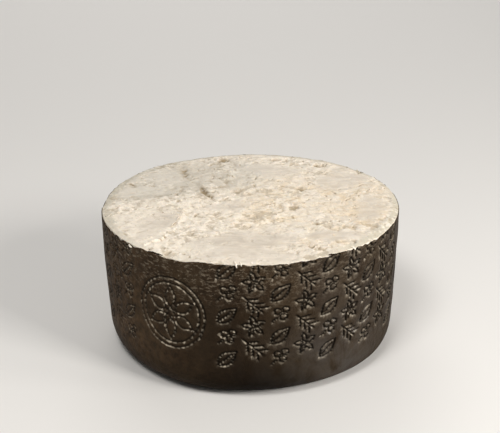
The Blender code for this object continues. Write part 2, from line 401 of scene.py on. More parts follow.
def new_material(name: str) -> tuple[Material, Wiring, Any]:
    """Start a material.

    Args:
        name: Its name.

    Returns:
        The material, the wiring of its tree and its shader.
    """
    material = bpy.data.materials.new(name)
    material.use_nodes = True
    tree = material.node_tree
    return material, Wiring(tree), tree.nodes["Principled BSDF"]


def set_inputs(shader: Any, values: dict[str, Any]) -> None:
    """Set a shader's own numbers and colours by name."""
    for name, value in values.items():
        shader.inputs[name].default_value = value


def run_tree(piece: Object, tree: NodeTree, values: dict[str, Any]) -> None:
    """Run a geometry tree on a piece and keep its result as the piece's plain mesh.

    Args:
        piece: The object whose mesh goes in and is replaced.
        tree: The geometry tree.
        values: The tree's inputs by name.
    """
    modifier = piece.modifiers.new(tree.name, "NODES")
    modifier.node_group = tree
    for item in tree.interface.items_tree:
        if item.item_type == "SOCKET" and item.in_out == "INPUT" and item.name in values:
            modifier[item.identifier] = values[item.name]
    bpy.context.view_layer.update()
    result = bpy.data.meshes.new_from_object(
        piece.evaluated_get(bpy.context.evaluated_depsgraph_get()))
    piece.modifiers.remove(modifier)
    old = piece.data
    piece.data = result
    result.name = piece.name
    bpy.data.meshes.remove(old)


# ------------ form of the wheel


@dataclass
class WheelForm:
    """The outer form of the half wheel, as the solid has it."""

    radius: float = 150 * MM
    cut_height: float = 142.7 * MM
    side_taper: float = 5.0 * MM
    taper_power: float = 1.6
    corner_rise: float = 27.6 * MM
    corner_run: float = 25.0 * MM
    side_swells: tuple = ((253, 4.6, 21), (340, 1.7, 16), (100, 2.6, 28), (45, 0.9, 14))
    rise_lobes: tuple = ((1, 3.0 * MM, 157), (2, 4.3 * MM, -7))
    run_lobes: tuple = ((1, 3.5 * MM, 77), (2, 7.5 * MM, 79))

    def outline(self, angle: Points, height: Points) -> Points:
        """Radius of the side and the corner at angles and heights."""
        rise = self.corner_rise + lobes(angle, self.rise_lobes)
        run = self.corner_run + lobes(angle, self.run_lobes)
        down = np.clip((self.cut_height - height) / (self.cut_height - rise), 0.0, 1.0)
        drawn_in = self.side_taper - bell(angle, self.side_swells)
        side = self.radius - drawn_in * down ** self.taper_power
        turn = np.arcsin(np.clip(1.0 - height / rise, 0.0, 1.0))
        return side - run * (1.0 - np.cos(turn))

    def place(self, angle: Points, height: Points, outward: Points | float) -> Points:
        """Points on the side and the corner, moved outwards along a level line."""
        reach = self.outline(angle, height) + outward
        return np.column_stack((reach * np.cos(angle), reach * np.sin(angle), height))

    def corner(self, angle: Points, top: float, rows: int, inset: float) -> Iterator[Points]:
        """Rows of points round the corner, from a height down to the foot.

        Args:
            angle: Angles of the points of a row.
            top: Height of the first row.
            rows: How many rows follow it.
            inset: How far inside the wheel they lie.

        Yields:
            The points of each row.
        """
        for row in range(rows + 1):
            turn = math.pi / 2 * row / rows
            height = np.full_like(angle, top * (1.0 - math.sin(turn)))
            points = self.place(angle, height, -inset * math.cos(turn))
            points[:, 2] += inset * math.sin(turn)
            yield points


@dataclass
class BreakForm:
    """The relief of the break across the wheel, as the solid has it, and its finer grain."""

    wheel: WheelForm
    tilt: float = math.radians(0.55)
    swell_size: float = 62 * MM
    swell_depth: float = 1.3 * MM
    clod_size: float = 19 * MM
    clod_depth: float = 1.7 * MM
    clod_middle: float = 0.45
    clod_share: float = 0.55
    crumb_size: float = 8.5 * MM
    crumb_depth: float = 1.0 * MM
    scraped_roughness: float = 0.12
    # Patches scraped smooth: middle x and y, half length, half width in mm, turn in degrees
    # and how grey they are.
    patches: tuple = (
        (-90, -53, 32, 16, 67, 1.0), (-2, -97, 47, 24, 4, 1.0), (-4, -128, 50, 15, 1, 0.80),
        (82, -86, 27, 12, -6, 0.8),
        (121, -18, 16, 33, -12, 0.6), (-90, 74, 25, 17, -18, 1.0), (-112, 38, 28, 11, 12, 1.0),
        (-22, -6, 24, 9, 8, 0.7), (96, 62, 30, 21, 35, 0.7), (18, 92, 34, 20, -12, 0.7))
    patch_warp: float = 9 * MM
    patch_warp_size: float = 23 * MM
    patch_edge: float = 0.42
    # Where patches break up: least share, size and the noise's range.
    patch_break: tuple = (0.70, 10 * MM, -0.30, 0.25)
    ledge: tuple = ((-149, -4), (-134, 1), (-112, 12), (-90, 17), (-68, 24), (-46, 20))
    ledge_drop: float = 2.6 * MM
    ledge_lip: float = 3.5 * MM
    ledge_floor: float = 12 * MM
    ledge_reach: float = 58 * MM
    ledge_fade: float = 0.82
    ridge: tuple = ((-66, -18), (-68, -38), (-71, -56), (-77, -75), (-87, -92), (-99, -104))
    ridge_height: float = 2.1 * MM
    ridge_half_width: float = 2.3 * MM
    # The crack: x, y and depth in mm.
    crack: tuple = (
        (-78, 112, 0), (-71, 98, 3.2), (-69, 80, 3.0), (-62, 66, 0.6), (-55, 53, 0.8),
        (-49, 41, 3.8), (-44, 26, 5.4), (-38, 12, 0))
    crack_half_width: float = 3.0 * MM
    # Pits where crumbs fell out: x, y, radius and depth in mm.
    pits: tuple = (
        (58, -111, 3.5, 3.0), (65, -117, 3.2, 2.6), (86, -104, 3.4, 1.8), (97, -100, 3.6, 1.8),
        (-12, 34, 7.0, 2.0), (-26, 61, 6.0, 1.6), (-124, 53, 5.0, 1.0), (-36, -27, 5.5, 1.6),
        (-76, -118, 3.6, 2.0), (-28, 127, 7.0, 3.2), (63, -55, 5.0, 1.6), (122, -60, 4.0, 1.6),
        (52, 38, 6.5, 2.6), (74, 108, 5.5, 2.4), (117, 86, 5.0, 2.2), (28, 128, 5.0, 2.0),
        (44, -14, 6.0, 2.2), (4, -38, 5.0, 1.5))
    # Dips of the rim and its worn shoulder: angle, depth in mm, half width in degrees.
    rim_dips: tuple = (
        (242, 1.7, 7), (303, -1.0, 13), (332, -0.7, 18), (62, 1.5, 18), (112, 0.9, 10),
        (212, -0.6, 14), (20, -0.6, 16), (172, 0.8, 12))
    rim_dip_reach: float = 55 * MM
    shoulder_drop: float = 0.7 * MM
    shoulders: tuple = ((334, 1.3, 22), (12, 1.2, 16), (96, 0.8, 20), (212, 0.6, 12))
    shoulder_width: float = 8 * MM
    # Finer than the solid: broken grains of several sizes, pinholes and knife marks.
    fray: float = 3.0 * MM
    fray_size: float = 7.0 * MM
    tear: float = 3.4 * MM
    tear_size: float = 3.6 * MM
    grain_soft: float = 0.06
    grain_tilt: float = 0.55
    grains: tuple = ((11.0 * MM, 0.45 * MM), (5.5 * MM, 0.55 * MM), (2.9 * MM, 0.46 * MM))
    # How strong the grains are from place to place.
    grain_spread: tuple = (0.35, 1.25)
    grain_spread_range: tuple = (-0.35, 0.35)
    grain_spread_size: float = 34 * MM
    # Fraying of the grains and its size, in grain sizes.
    grain_fray: tuple = (0.35, 0.8)
    crack_share: float = 0.72
    # How brown the crack is: a brown halo round it, how far that reaches, the share of painted shade
    # that its depth gives, and the patches of both.
    crack_halo: float = 0.40
    crack_halo_reach: float = 2.0
    crack_brown: float = 0.62
    crack_patch_size: float = 4.5 * MM
    # Depths that count as fully brown: for the halo round the crack, and for the painted shade in
    # hollows and nicks.
    halo_depth: float = 5 * MM
    hollow_depth: float = 3 * MM
    nick_full_depth: float = 1.9 * MM
    pit_wall: tuple = (0.35, 1.25)
    # How much of a pit and of a nick is lost on scraped paste.
    pit_lost: float = 0.6
    nick_lost: float = 0.8
    # The grey outer band: its least share, where it ends and where it is strong.
    grey_rim: tuple = (0.16, 3.8 * MM, 7.0 * MM)
    grey_arcs: tuple = (
        (323, 0.8, 18), (344, 0.95, 20), (150, 0.8, 34), (60, 0.8, 40), (200, 0.45, 14))
    grey_fray: float = 0.6
    wide_share: float = 0.8
    wide_arcs: tuple = ((192, 1.0, 20), (327, 1.2, 22))
    pale_line: float = 8.5 * MM
    pale_line_width: float = 1.6 * MM
    pale_arcs: tuple = ((350, 0.9, 20),)
    # The calm band along the rim, and where it starts and ends in its widths.
    rim_band: float = 5.5 * MM
    rim_band_ends: tuple = (0.6, 1.6)
    rim_band_least: float = 0.35
    rim_band_arcs: tuple = ((325, 1.0, 42), (80, 0.8, 50))
    rim_band_roughness: float = 0.22
    # How thick crumbs lie on crumbly paste, on the ridge and on the worn shoulder.
    loose_shares: tuple = (0.22, 0.5, 0.35)
    loose_shoulder: tuple = (0.7, 0.95)
    flap_highlight: float = 1.6
    pinholes: int = 110
    pinhole_radius: tuple = (0.7 * MM, 1.9 * MM)
    pinhole_depth: float = 0.60
    nicks: int = 380
    nick_length: tuple = (3 * MM, 12 * MM)
    nick_width: tuple = (0.55 * MM, 1.0 * MM)
    nick_depth: tuple = (0.5 * MM, 2.0 * MM)
    nick_turn: float = 0.8
    nick_inset: float = 6 * MM
    nick_bend: float = 0.45
    nick_tip: float = 0.4
    flap_height: float = 0.22
    # Where the lifted edge lies and how wide it is, in nick widths.
    flap_place: tuple = (2.0, 1.1)
    knife_depth: float = 0.12 * MM
    knife_size: float = 2.4 * MM
    knife_stretch: float = 9.0
    seed: int = 7

    def scraped(self, x: Points, y: Points) -> tuple[Points, Points]:
        """How far the break is scraped smooth, and how grey it is there, from 0 to 1."""
        warped_x, warped_y = shaken(x, y, self.patch_warp, self.patch_warp_size, 0.0)
        cover, ashen = np.zeros_like(x), np.zeros_like(x)
        for middle_x, middle_y, half_length, half_width, turn, grey in self.patches:
            away_x = warped_x - middle_x * MM
            away_y = warped_y - middle_y * MM
            cos, sin = math.cos(math.radians(turn)), math.sin(math.radians(turn))
            reach = np.hypot((away_x * cos + away_y * sin) / (half_length * MM),
                             (away_y * cos - away_x * sin) / (half_width * MM))
            patch = fall(1.0 - self.patch_edge, 1.0 + self.patch_edge, reach)
            cover = np.maximum(cover, patch)
            ashen = np.maximum(ashen, grey * patch)
        least, size, *ends = self.patch_break
        left = least + (1.0 - least) * smooth_step(*ends, noise_at(x, y, size, 8.0))
        return cover * left, ashen * left

    def holes(self) -> Iterator[tuple[float, float, float, float]]:
        """The named pits and the seeded pinholes: x, y, radius and depth in metres."""
        for pit in self.pits:
            yield tuple(value * MM for value in pit)
        draw = random.Random(self.seed)
        for _ in range(self.pinholes):
            reach = self.wheel.radius * math.sqrt(draw.random())
            angle = draw.uniform(0.0, math.tau)
            radius = draw.uniform(*self.pinhole_radius)
            yield reach * math.cos(angle), reach * math.sin(angle), radius, radius * self.pinhole_depth

    def nicked(self, x: Points, y: Points) -> tuple[Points, Points]:
        """Depth of the short cracks left where flakes lifted, and height of the lifted edges."""
        draw = random.Random(self.seed + 1)
        depth, flap = np.zeros_like(x), np.zeros_like(x)
        for _ in range(self.nicks):
            reach = (self.wheel.radius - self.nick_inset) * math.sqrt(draw.random())
            angle, turn = draw.uniform(0.0, math.tau), draw.gauss(0.0, self.nick_turn)
            half = draw.uniform(*self.nick_length) / 2
            width, deep = draw.uniform(*self.nick_width), draw.uniform(*self.nick_depth)
            away_x = x - reach * math.cos(angle)
            away_y = y - reach * math.sin(angle)
            near = np.flatnonzero(np.hypot(away_x, away_y) < half + 4 * width)
            along = away_x[near] * math.cos(turn) + away_y[near] * math.sin(turn)
            across = away_y[near] * math.cos(turn) - away_x[near] * math.sin(turn)
            across = across - draw.uniform(-self.nick_bend, self.nick_bend) * along ** 2 / half
            ends = deep * fall(self.nick_tip * half, half, np.abs(along))
            depth[near] = np.maximum(depth[near], ends * np.exp(-((across / width) ** 2)))
            behind = (across - self.flap_place[0] * width) / (self.flap_place[1] * width)
            flap[near] = np.maximum(flap[near], self.flap_height * ends * np.exp(-(behind ** 2)))
        return depth, flap

    def crumbs(self, x: Points, y: Points) -> tuple[Points, Points]:
        """Height of clods, crumbs and grains, and how deep the grains lie."""
        clod = clods_at(x, y, self.clod_size)
        height = self.clod_share * self.clod_depth * (clod - self.clod_middle)
        height = height + self.crumb_depth * noise_at(x, y, self.crumb_size, 1.0)
        weak, strong = self.grain_spread
        spread = noise_at(x, y, self.grain_spread_size, 3.0)
        spread = weak + (strong - weak) * smooth_step(*self.grain_spread_range, spread)
        reach, lump = self.grain_fray
        fine = np.zeros_like(x)
        for order, (size, depth) in enumerate(self.grains):
            frayed = shaken(x, y, reach * size, lump * size, 4.0 + order, 5.0)
            fine += depth * grains_at(*frayed, size, self.grain_tilt, self.grain_soft)
        return height + spread * fine, np.clip(0.5 - spread * fine / (1.0 * MM), 0.0, 1.0)

    def knife_marks(self, x: Points, y: Points) -> Points:
        """Fine marks that the knife left along the scraped patches."""
        return self.knife_depth * noise_at(x / self.knife_stretch, y, self.knife_size, 3.0)

    def _calm_band(self, angle: Points, from_rim: Points) -> Points:
        """How far the break is calmed along the rim."""
        near, far = self.rim_band_ends
        band = fall(near * self.rim_band, far * self.rim_band, from_rim)
        arcs = np.clip(share_round(angle, self.rim_band_arcs), 0, 1)
        return band * (self.rim_band_least + (1.0 - self.rim_band_least) * arcs)

    def _ledge_step(self, frayed: Sequence[Points]) -> tuple[Points, Points]:
        """How far the break drops behind the ledge, and which points lie behind it."""
        apart, along = beside(self.ledge, *frayed)
        fade = fall(self.ledge_fade, 1.0, along / (len(self.ledge) - 1))
        step = fade * smooth_step(0.0, self.ledge_lip, apart)
        behind = smooth_step(-self.ledge_lip, self.ledge_lip, apart)
        floor = fall(self.ledge_floor, self.ledge_reach, apart)
        return self.ledge_drop * step * floor, behind

    def _crack_cut(self, x: Points, y: Points, frayed: Sequence[Points]) -> tuple[Points, Points]:
        """Depth of the crack, and what its brown halo and patchy painted shade add to the painted
        shade of that depth.
        """
        apart, along = beside(self.crack, *frayed)
        depths = np.array([point[2] for point in self.crack]) * MM
        depth = np.interp(along, range(len(depths)), depths)
        width = self.crack_half_width
        crack = depth * self.crack_share * np.exp(-((apart / width) ** 2))
        crack_tint = self.crack_halo * depth / self.halo_depth
        crack_tint = crack_tint * np.exp(-((apart / (self.crack_halo_reach * width)) ** 2))
        middle, swing, least, most = 0.8, 1.5, 0.15, 1.2
        patchy = middle + swing * noise_at(x, y, self.crack_patch_size, 8.0)
        brown = crack_tint + self.crack_brown * crack / self.hollow_depth
        return crack, np.clip(patchy, least, most) * brown - crack / self.hollow_depth

    def _ridge_line(self, x: Points, y: Points, frayed: Sequence[Points]) -> tuple[Points, Points]:
        """How far points lie on the ridge, and how high its lumps are."""
        apart, _ = beside(self.ridge, *frayed)
        thinnest, middle, swing, size = 0.25, 0.55, 0.75, 12 * MM
        width = self.ridge_half_width * (middle + swing * noise_at(x, y, size, 7.0))
        ridge = np.exp(-((apart / np.maximum(width, thinnest * self.ridge_half_width)) ** 2))
        middle, swing, size, least, most = 0.45, 1.2, 7.0 * MM, 0.15, 1.2
        return ridge, np.clip(middle + swing * noise_at(x, y, size, 6.0), least, most)

    def _grey_band(self, angle: Points, from_rim: Points) -> Points:
        """How grey the outer band is."""
        least, *ends = self.grey_rim
        greyed = least + (1.0 - least) * np.clip(share_round(angle, self.grey_arcs), 0.0, 1.0)
        wide = 1.0 + self.wide_share * share_round(angle, self.wide_arcs)
        return greyed * fall(*ends, from_rim / wide)

    def relief(self, x: Points, y: Points) -> dict[str, Points]:
        """Height of the break and the masks that its material reads.

        Args:
            x: First coordinates.
            y: Second coordinates.

        Returns:
            The height, and the masks by name.
        """
        angle = np.arctan2(y, x)
        from_rim = self.wheel.radius - np.hypot(x, y)
        frayed = shaken(x, y, self.fray, self.fray_size, 4.0)
        scraped, ashen = self.scraped(x, y)
        crumbs, crease = self.crumbs(x, y)
        height = self.wheel.cut_height + math.tan(self.tilt) * x
        height = height + self.swell_depth * noise_at(x, y, self.swell_size)
        band = self._calm_band(angle, from_rim)
        calm = np.maximum(scraped, (1.0 - self.rim_band_roughness) * band)
        height += crumbs * (1.0 - (1.0 - self.scraped_roughness) * calm)
        height += self.knife_marks(x, y) * scraped
        drop, behind = self._ledge_step(frayed)
        height -= drop
        crack, crack_tint = self._crack_cut(x, y, frayed)
        hollow = crack.copy()
        torn_x = frayed[0] + self.tear * noise_at(x, y, self.tear_size, 1.0)
        torn_y = frayed[1] + self.tear * noise_at(x, y, self.tear_size, 2.0)
        for hole_x, hole_y, radius, depth in self.holes():
            reach = np.hypot(torn_x - hole_x, torn_y - hole_y) / radius
            wall = fall(*self.pit_wall, reach)
            hollow += depth * (1.0 - self.pit_lost * scraped) * wall
        ragged_x, ragged_y = (x + torn_x) / 2, (y + torn_y) / 2
        nick, flap = (part * (1.0 - self.nick_lost * scraped)
                      for part in self.nicked(ragged_x, ragged_y))
        height += flap - hollow - nick
        ridge, lumps = self._ridge_line(x, y, frayed)
        height += self.ridge_height * ridge * lumps
        height -= bell(angle, self.rim_dips) * fall(0.0, self.rim_dip_reach, from_rim)
        worn = self.shoulder_drop + bell(angle, self.shoulders)
        rim = fall(0.0, self.shoulder_width, from_rim)
        height -= worn * rim
        greyed = self._grey_band(angle, from_rim + self.grey_fray * (frayed[0] - x))
        on_crumbly, on_ridge, on_edge = self.loose_shares
        edge = on_edge * smooth_step(*self.loose_shoulder, rim) * (1.0 - np.clip(greyed, 0.0, 1.0))
        loose = on_crumbly * (1.0 - scraped) ** 2 + on_ridge * ridge + edge
        pale_line = np.exp(-((from_rim - self.pale_line) / self.pale_line_width) ** 2)
        pale_line *= share_round(angle, self.pale_arcs)
        # hollow is painted shade by depth in hollows, the crack and nicks, with the crack's brown
        # halo; ridge is painted highlight on the ridge and lifted flake edges, with a paler line near
        # the rim.
        return {"height": height, "scraped": scraped, "ashen": ashen, "loose": loose,
                "hollow": hollow / self.hollow_depth + nick / self.nick_full_depth + crack_tint,
                "crease": crease * (1.0 - scraped), "rim": rim, "greyed": greyed,
                "ridge": np.maximum(ridge, pale_line) + self.flap_highlight * flap / MM,
                "behind": behind}


# ------------ shared shader groups


class SharedGroups:
    """Node groups that more than one finish uses."""

    def __init__(self) -> None:
        """Build each group once."""
        self.mottle = self._mottle()
        self.grain = self._grain()

    def cloud(self, wiring: Wiring, place: Any, scale: float, low: float,
              high: float) -> NodeSocket:
        """A soft cloudy mask, of a scale, between a low and a high noise."""
        return wiring.group(self.mottle, {"Vector": place, "Scale": scale, "Low": low,
                                          "High": high}).outputs["Mask"]

    @staticmethod
    def _mottle() -> NodeTree:
        """Soft clouds of two sizes, as a mask."""
        wiring, source, target = new_group(
            "mottle", "ShaderNodeTree",
            {"Vector": "Vector", "Scale": "Float", "Low": "Float", "High": "Float"},
            {"Mask": "Float"})
        cloud = wiring.node("ShaderNodeTexNoise",
                            {"Vector": source.outputs["Vector"], "Scale": source.outputs["Scale"],
                             "Detail": 4.0, "Roughness": 0.62, "Distortion": 0.4})
        mask = wiring.remap(cloud.outputs[0], source.outputs["Low"], source.outputs["High"],
                            smooth=True)
        wiring.feed(target.inputs["Mask"], mask)
        return wiring.tree

    @staticmethod
    def _grain() -> NodeTree:
        """Fine grain with small open pores, as a height."""
        wiring, source, target = new_group(
            "grain", "ShaderNodeTree",
            {"Vector": "Vector", "Scale": "Float", "Pores": "Float"},
            {"Height": "Float", "Pore": "Float"})
        fine = wiring.node("ShaderNodeTexNoise",
                           {"Vector": source.outputs["Vector"], "Scale": source.outputs["Scale"],
                            "Detail": 5.0, "Roughness": 0.68})
        cells = wiring.node("ShaderNodeTexVoronoi",
                            {"Vector": source.outputs["Vector"],
                             "Scale": wiring.sum("MULTIPLY", source.outputs["Scale"], 0.55),
                             "Randomness": 1.0})
        pore = wiring.remap(cells.outputs["Distance"], 0.05, 0.32, 1.0, 0.0, smooth=True)
        sunk = wiring.sum("MULTIPLY", pore, source.outputs["Pores"])
        wiring.feed(target.inputs["Height"], wiring.sum("SUBTRACT", fine.outputs[0], sunk))
        wiring.feed(target.inputs["Pore"], pore)
        return wiring.tree


@dataclass(frozen=True)
class PasteFinish:
    """Pale paste: warm where it crumbled, greyer where it was scraped, with brown painted shade in the
    hollows, grey painted shade at the back left, painted highlights on crests and the ridge, and
    partly painted warm light.
    """

    name: str = "pale_paste"
    crumbly: Colour = linear(239, 228, 211)
    # Partly a warmer paste, partly painted warm light towards the front right.
    warm: Colour = linear(231, 211, 181)
    pale: Colour = linear(244, 235, 221)
    scraped: Colour = linear(195, 183, 167)
    worn: Colour = linear(223, 212, 197)
    # Painted shade at the back left and behind the ledge, where the light falls off.
    painted_back_shade: Colour = linear(207, 199, 185)
    # Painted shade in hollows, pits, nicks and grain creases, and the crack's brown halo.
    hollow: Colour = linear(152, 133, 102)
    rim: Colour = linear(197, 190, 173)
    fleck: Colour = linear(192, 174, 144)
    # Clouds: their scale, and the noise where they start and where they are full.
    warm_cloud: tuple = (26.0, 0.35, 0.62)
    worn_cloud: tuple = (95.0, 0.42, 0.66)
    pale_cloud: tuple = (161.5, 0.50, 0.70)
    fleck_cloud: tuple = (300.0, 0.56, 0.72)
    # How far each colour covers what lies under it.
    worn_share: float = 0.70
    pale_share: float = 0.50
    scraped_share: float = 0.85
    streak_share: float = 0.25
    rim_share: float = 0.85
    # Pale on the ridge and on lifted flake edges is painted highlight, with a paler line near the rim.
    ridge_share: float = 0.70
    hollow_most: float = 0.9
    # Pores take the fleck colour as painted shade.
    pore_share: float = 0.55
    # Flecks on scraped and on crumbly paste, and the relief of the grain there.
    fleck_shares: tuple = (0.12, 0.55)
    grain_shares: tuple = (1.0, 0.35)
    # Painted highlight on the crests of grains and painted shade in their creases: how deep they lie,
    # and the shares there.
    crest: tuple = (0.34, 0.14, 0.0, 0.55)
    crease: tuple = (0.52, 0.85, 0.0, 0.42)
    grain_scale: float = 430.0
    pores: float = 0.5
    streak_scale: tuple = (45.0, 260.0, 60.0)
    streak_rough: float = 0.6
    streak_range: tuple = (0.40, 0.66)
    streak_height: float = 0.4
    roughness: float = 0.62
    crumbly_rougher: float = 0.15
    scraped_smoother: float = 0.08
    gloss: float = 0.30
    bump: float = 0.60
    bump_depth: float = 1.0 * MM
    soften: float = 0.08
    soften_reach: tuple = (1.0, 0.72, 0.45)
    soften_depth: float = 2.0 * MM

    def build(self, groups: SharedGroups) -> Material:
        """Make the material.

        Args:
            groups: The shared node groups.

        Returns:
            The material.
        """
        material, wiring, shader = new_material(self.name)
        place = wiring.node("ShaderNodeTexCoord").outputs["Object"]
        cloud = partial(groups.cloud, wiring, place)
        times, mask, remap = wiring.times, wiring.mask, wiring.remap
        scraped, crease = mask("scraped"), mask("crease")
        loose = wiring.sum("SUBTRACT", 1.0, scraped)
        grain = wiring.group(groups.grain, {"Vector": place, "Scale": self.grain_scale,
                                            "Pores": self.pores})
        streak = wiring.streaks(place, self.streak_scale, self.streak_rough)
        specks = wiring.sum("MAXIMUM", cloud(*self.fleck_cloud),
                            times(grain.outputs["Pore"], self.pore_share))
        sunk = times(remap(crease, *self.crease, smooth=True), loose)
        sunk = wiring.sum("MAXIMUM", mask("hollow"), sunk)
        # Hollow, crease and back shade layers are painted shade; ridge and crest pale is painted
        # highlight; warmth is partly painted warm light.
        colour = wiring.layers(self.crumbly, (
            (times(mask("warmth"), cloud(*self.warm_cloud)), self.warm),
            (times(cloud(*self.worn_cloud), self.worn_share), self.worn),
            (times(cloud(*self.pale_cloud), self.pale_share), self.pale),
            (times(mask("ashen"), self.scraped_share), self.scraped),
            (times(remap(streak, *self.streak_range, smooth=True), self.streak_share), self.pale),
            (mask("dryness"), self.painted_back_shade),
            (times(mask("greyed"), self.rim_share), self.rim),
            (times(mask("ridge"), self.ridge_share), self.pale),
            (times(remap(crease, *self.crest, smooth=True), loose), self.pale),
            (times(specks, remap(loose, 0.0, 1.0, *self.fleck_shares)), self.fleck),
            (wiring.sum("MINIMUM", sunk, self.hollow_most), self.hollow)))
        wiring.feed(shader.inputs["Base Color"], colour)
        rough = remap(scraped, 0.0, 1.0, self.roughness + self.crumbly_rougher,
                      self.roughness - self.scraped_smoother)
        wiring.feed(shader.inputs["Roughness"], rough)
        height = times(grain.outputs["Height"], remap(scraped, 0.0, 1.0, *self.grain_shares))
        height = wiring.sum("ADD", height, times(streak, self.streak_height))
        wiring.emboss(shader, height, self.bump, self.bump_depth)
        set_inputs(shader, {
            "Specular IOR Level": self.gloss, "Subsurface Weight": self.soften,
            "Subsurface Radius": self.soften_reach, "Subsurface Scale": self.soften_depth})
        return material


@dataclass(frozen=True)
class RindFinish:
    """Brown-black coated rind: satin, mottled and scratched level, with painted highlights on the lips
    of its pricks and grooves and painted shade on their walls, towards the foot and in bands.
    """

    name: str = "black_rind"
    dark: Colour = linear(42, 33, 24)
    brown: Colour = linear(56, 46, 34)
    edge: Colour = linear(66, 52, 37)
    # Painted shade towards the foot.
    foot: Colour = linear(12, 8, 5)
    # Dust, with some of its pale flecks painted as glints.
    dust_and_glint: Colour = linear(112, 101, 86)
    # A browner tone, and painted light low at the left.
    veil: Colour = linear(94, 74, 54)
    # Painted shade on the walls of pricks and grooves turned from the light.
    pit: Colour = linear(4, 3, 2)
    # Painted shade in bands down the middle front and at the far right.
    dim: Colour = linear(30, 22, 15)
    # Painted highlight on the lips of pricks and grooves turned to the light.
    glint: Colour = linear(238, 224, 200)
    sheen: Colour = (1.0, 0.82, 0.62, 1.0)
    # Clouds: their scale, and the noise where they start and where they are full.
    broad_cloud: tuple = (20.0, 0.36, 0.66)
    brown_and_painted_light_cloud: tuple = (150.0, 0.25, 0.75)
    dust_and_glint_cloud: tuple = (400.0, 0.50, 0.66)
    lump_cloud: tuple = (110.0, 0.25, 0.75)
    wax_cloud: tuple = (30.0, 0.30, 0.62)
    dust_and_glint_stretch: tuple = (0.50, 0.50, 1.15)
    roughness: float = 0.55
    dark_smoother: float = 0.05
    brown_rougher: float = 0.08
    foot_rougher: float = 0.2
    gloss: float = 0.035
    bump: float = 1.0
    bump_depth: float = 1.5 * MM
    grain_scale: float = 420.0
    pores: float = 0.3
    # Relief of the grain on clean and on dusty rind, and where it counts as dusty.
    grain_share: tuple = (0.10, 0.75)
    dusty_from: float = 0.6
    weave: tuple = (60.0, 60.0, 420.0)
    weave_rough: float = 0.65
    weave_share: float = 0.45
    scratch_range: tuple = (0.54, 0.70)
    scratch_share: float = 0.30
    lump_share: float = 0.6
    coat_rough: float = 0.30

    def build(self, groups: SharedGroups) -> Material:
        """Make the material.

        Args:
            groups: The shared node groups.

        Returns:
            The material.
        """
        material, wiring, shader = new_material(self.name)
        place = wiring.node("ShaderNodeTexCoord").outputs["Object"]
        cloud = partial(groups.cloud, wiring, place)
        times, mask, remap = wiring.times, wiring.mask, wiring.remap
        broad, dusty = cloud(*self.broad_cloud), mask("dusty")
        grain = wiring.group(groups.grain, {"Vector": place, "Scale": self.grain_scale,
                                            "Pores": self.pores})
        streak = wiring.streaks(place, self.weave, self.weave_rough)
        scratch = remap(streak, *self.scratch_range, smooth=True)
        drawn = wiring.stretched(place, self.dust_and_glint_stretch)
        # Pit and glint lay painted shade and highlight on the ornament; dim and foot lay painted
        # shade.
        colour = wiring.layers(self.dark, (
            (broad, self.brown),
            (times(scratch, self.scratch_share), self.brown),
            (mask("edge"), self.edge),
            (mask("dim"), self.dim),
            (mask("foot"), self.foot),
            (times(mask("veil"), cloud(*self.brown_and_painted_light_cloud)), self.veil),
            (times(groups.cloud(wiring, drawn, *self.dust_and_glint_cloud), dusty), self.dust_and_glint),
            (mask("pit"), self.pit),
            (mask("glint"), self.glint)))
        wiring.feed(shader.inputs["Base Color"], colour)
        rough = remap(broad, 0.0, 1.0, self.roughness - self.dark_smoother,
                      self.roughness + self.brown_rougher)
        rough = wiring.sum("ADD", rough, times(mask("foot"), self.foot_rougher))
        wiring.feed(shader.inputs["Roughness"], rough)
        height = times(grain.outputs["Height"], remap(dusty, 0.0, self.dusty_from, *self.grain_share))
        height = wiring.sum("ADD", height, times(streak, self.weave_share))
        height = wiring.sum("ADD", height, times(cloud(*self.lump_cloud), self.lump_share))
        wiring.emboss(shader, height, self.bump, self.bump_depth)
        whole = wiring.sum("SUBTRACT", 1.0, mask("pit"))
        wax = times(mask("satin"), cloud(*self.wax_cloud))
        wiring.feed(shader.inputs["Coat Weight"], times(wax, whole))
        set_inputs(shader, {"Coat Roughness": self.coat_rough, "Specular IOR Level": self.gloss,
                            "Specular Tint": self.sheen})
        return material


# ------------ the paste


def ring_disc(rings: int) -> tuple[Points, Points]:
    """An even disc of triangles, where ring number k has 6 k points.

    Args:
        rings: Number of rings.

    Returns:
        Ring shares and angles as two columns, and the triangles. The last 6 * rings points
        are the rim, in order.
    """
    shares = [np.zeros(1)]
    angles = [np.zeros(1)]
    for ring in range(1, rings + 1):
        shares.append(np.full(6 * ring, ring / rings))
        angles.append(np.arange(6 * ring) * math.tau / (6 * ring))
    triangles = []
    first = [0] + [1 + 3 * ring * (ring - 1) for ring in range(1, rings + 1)]
    for ring in range(1, rings + 1):
        outer, inner = first[ring], first[ring - 1]
        count, inner_count = 6 * ring, max(1, 6 * (ring - 1))
        for sector in range(6):
            for step in range(ring):
                here = outer + sector * ring + step
                ahead = outer + (sector * ring + step + 1) % count
                below = inner + (sector * (ring - 1) + step) % inner_count
                triangles.append((here, ahead, below))
                if step < ring - 1:
                    below_ahead = inner + (sector * (ring - 1) + step + 1) % inner_count
                    triangles.append((ahead, below_ahead, below))
    return np.column_stack((np.concatenate(shares), np.concatenate(angles))), np.array(triangles)


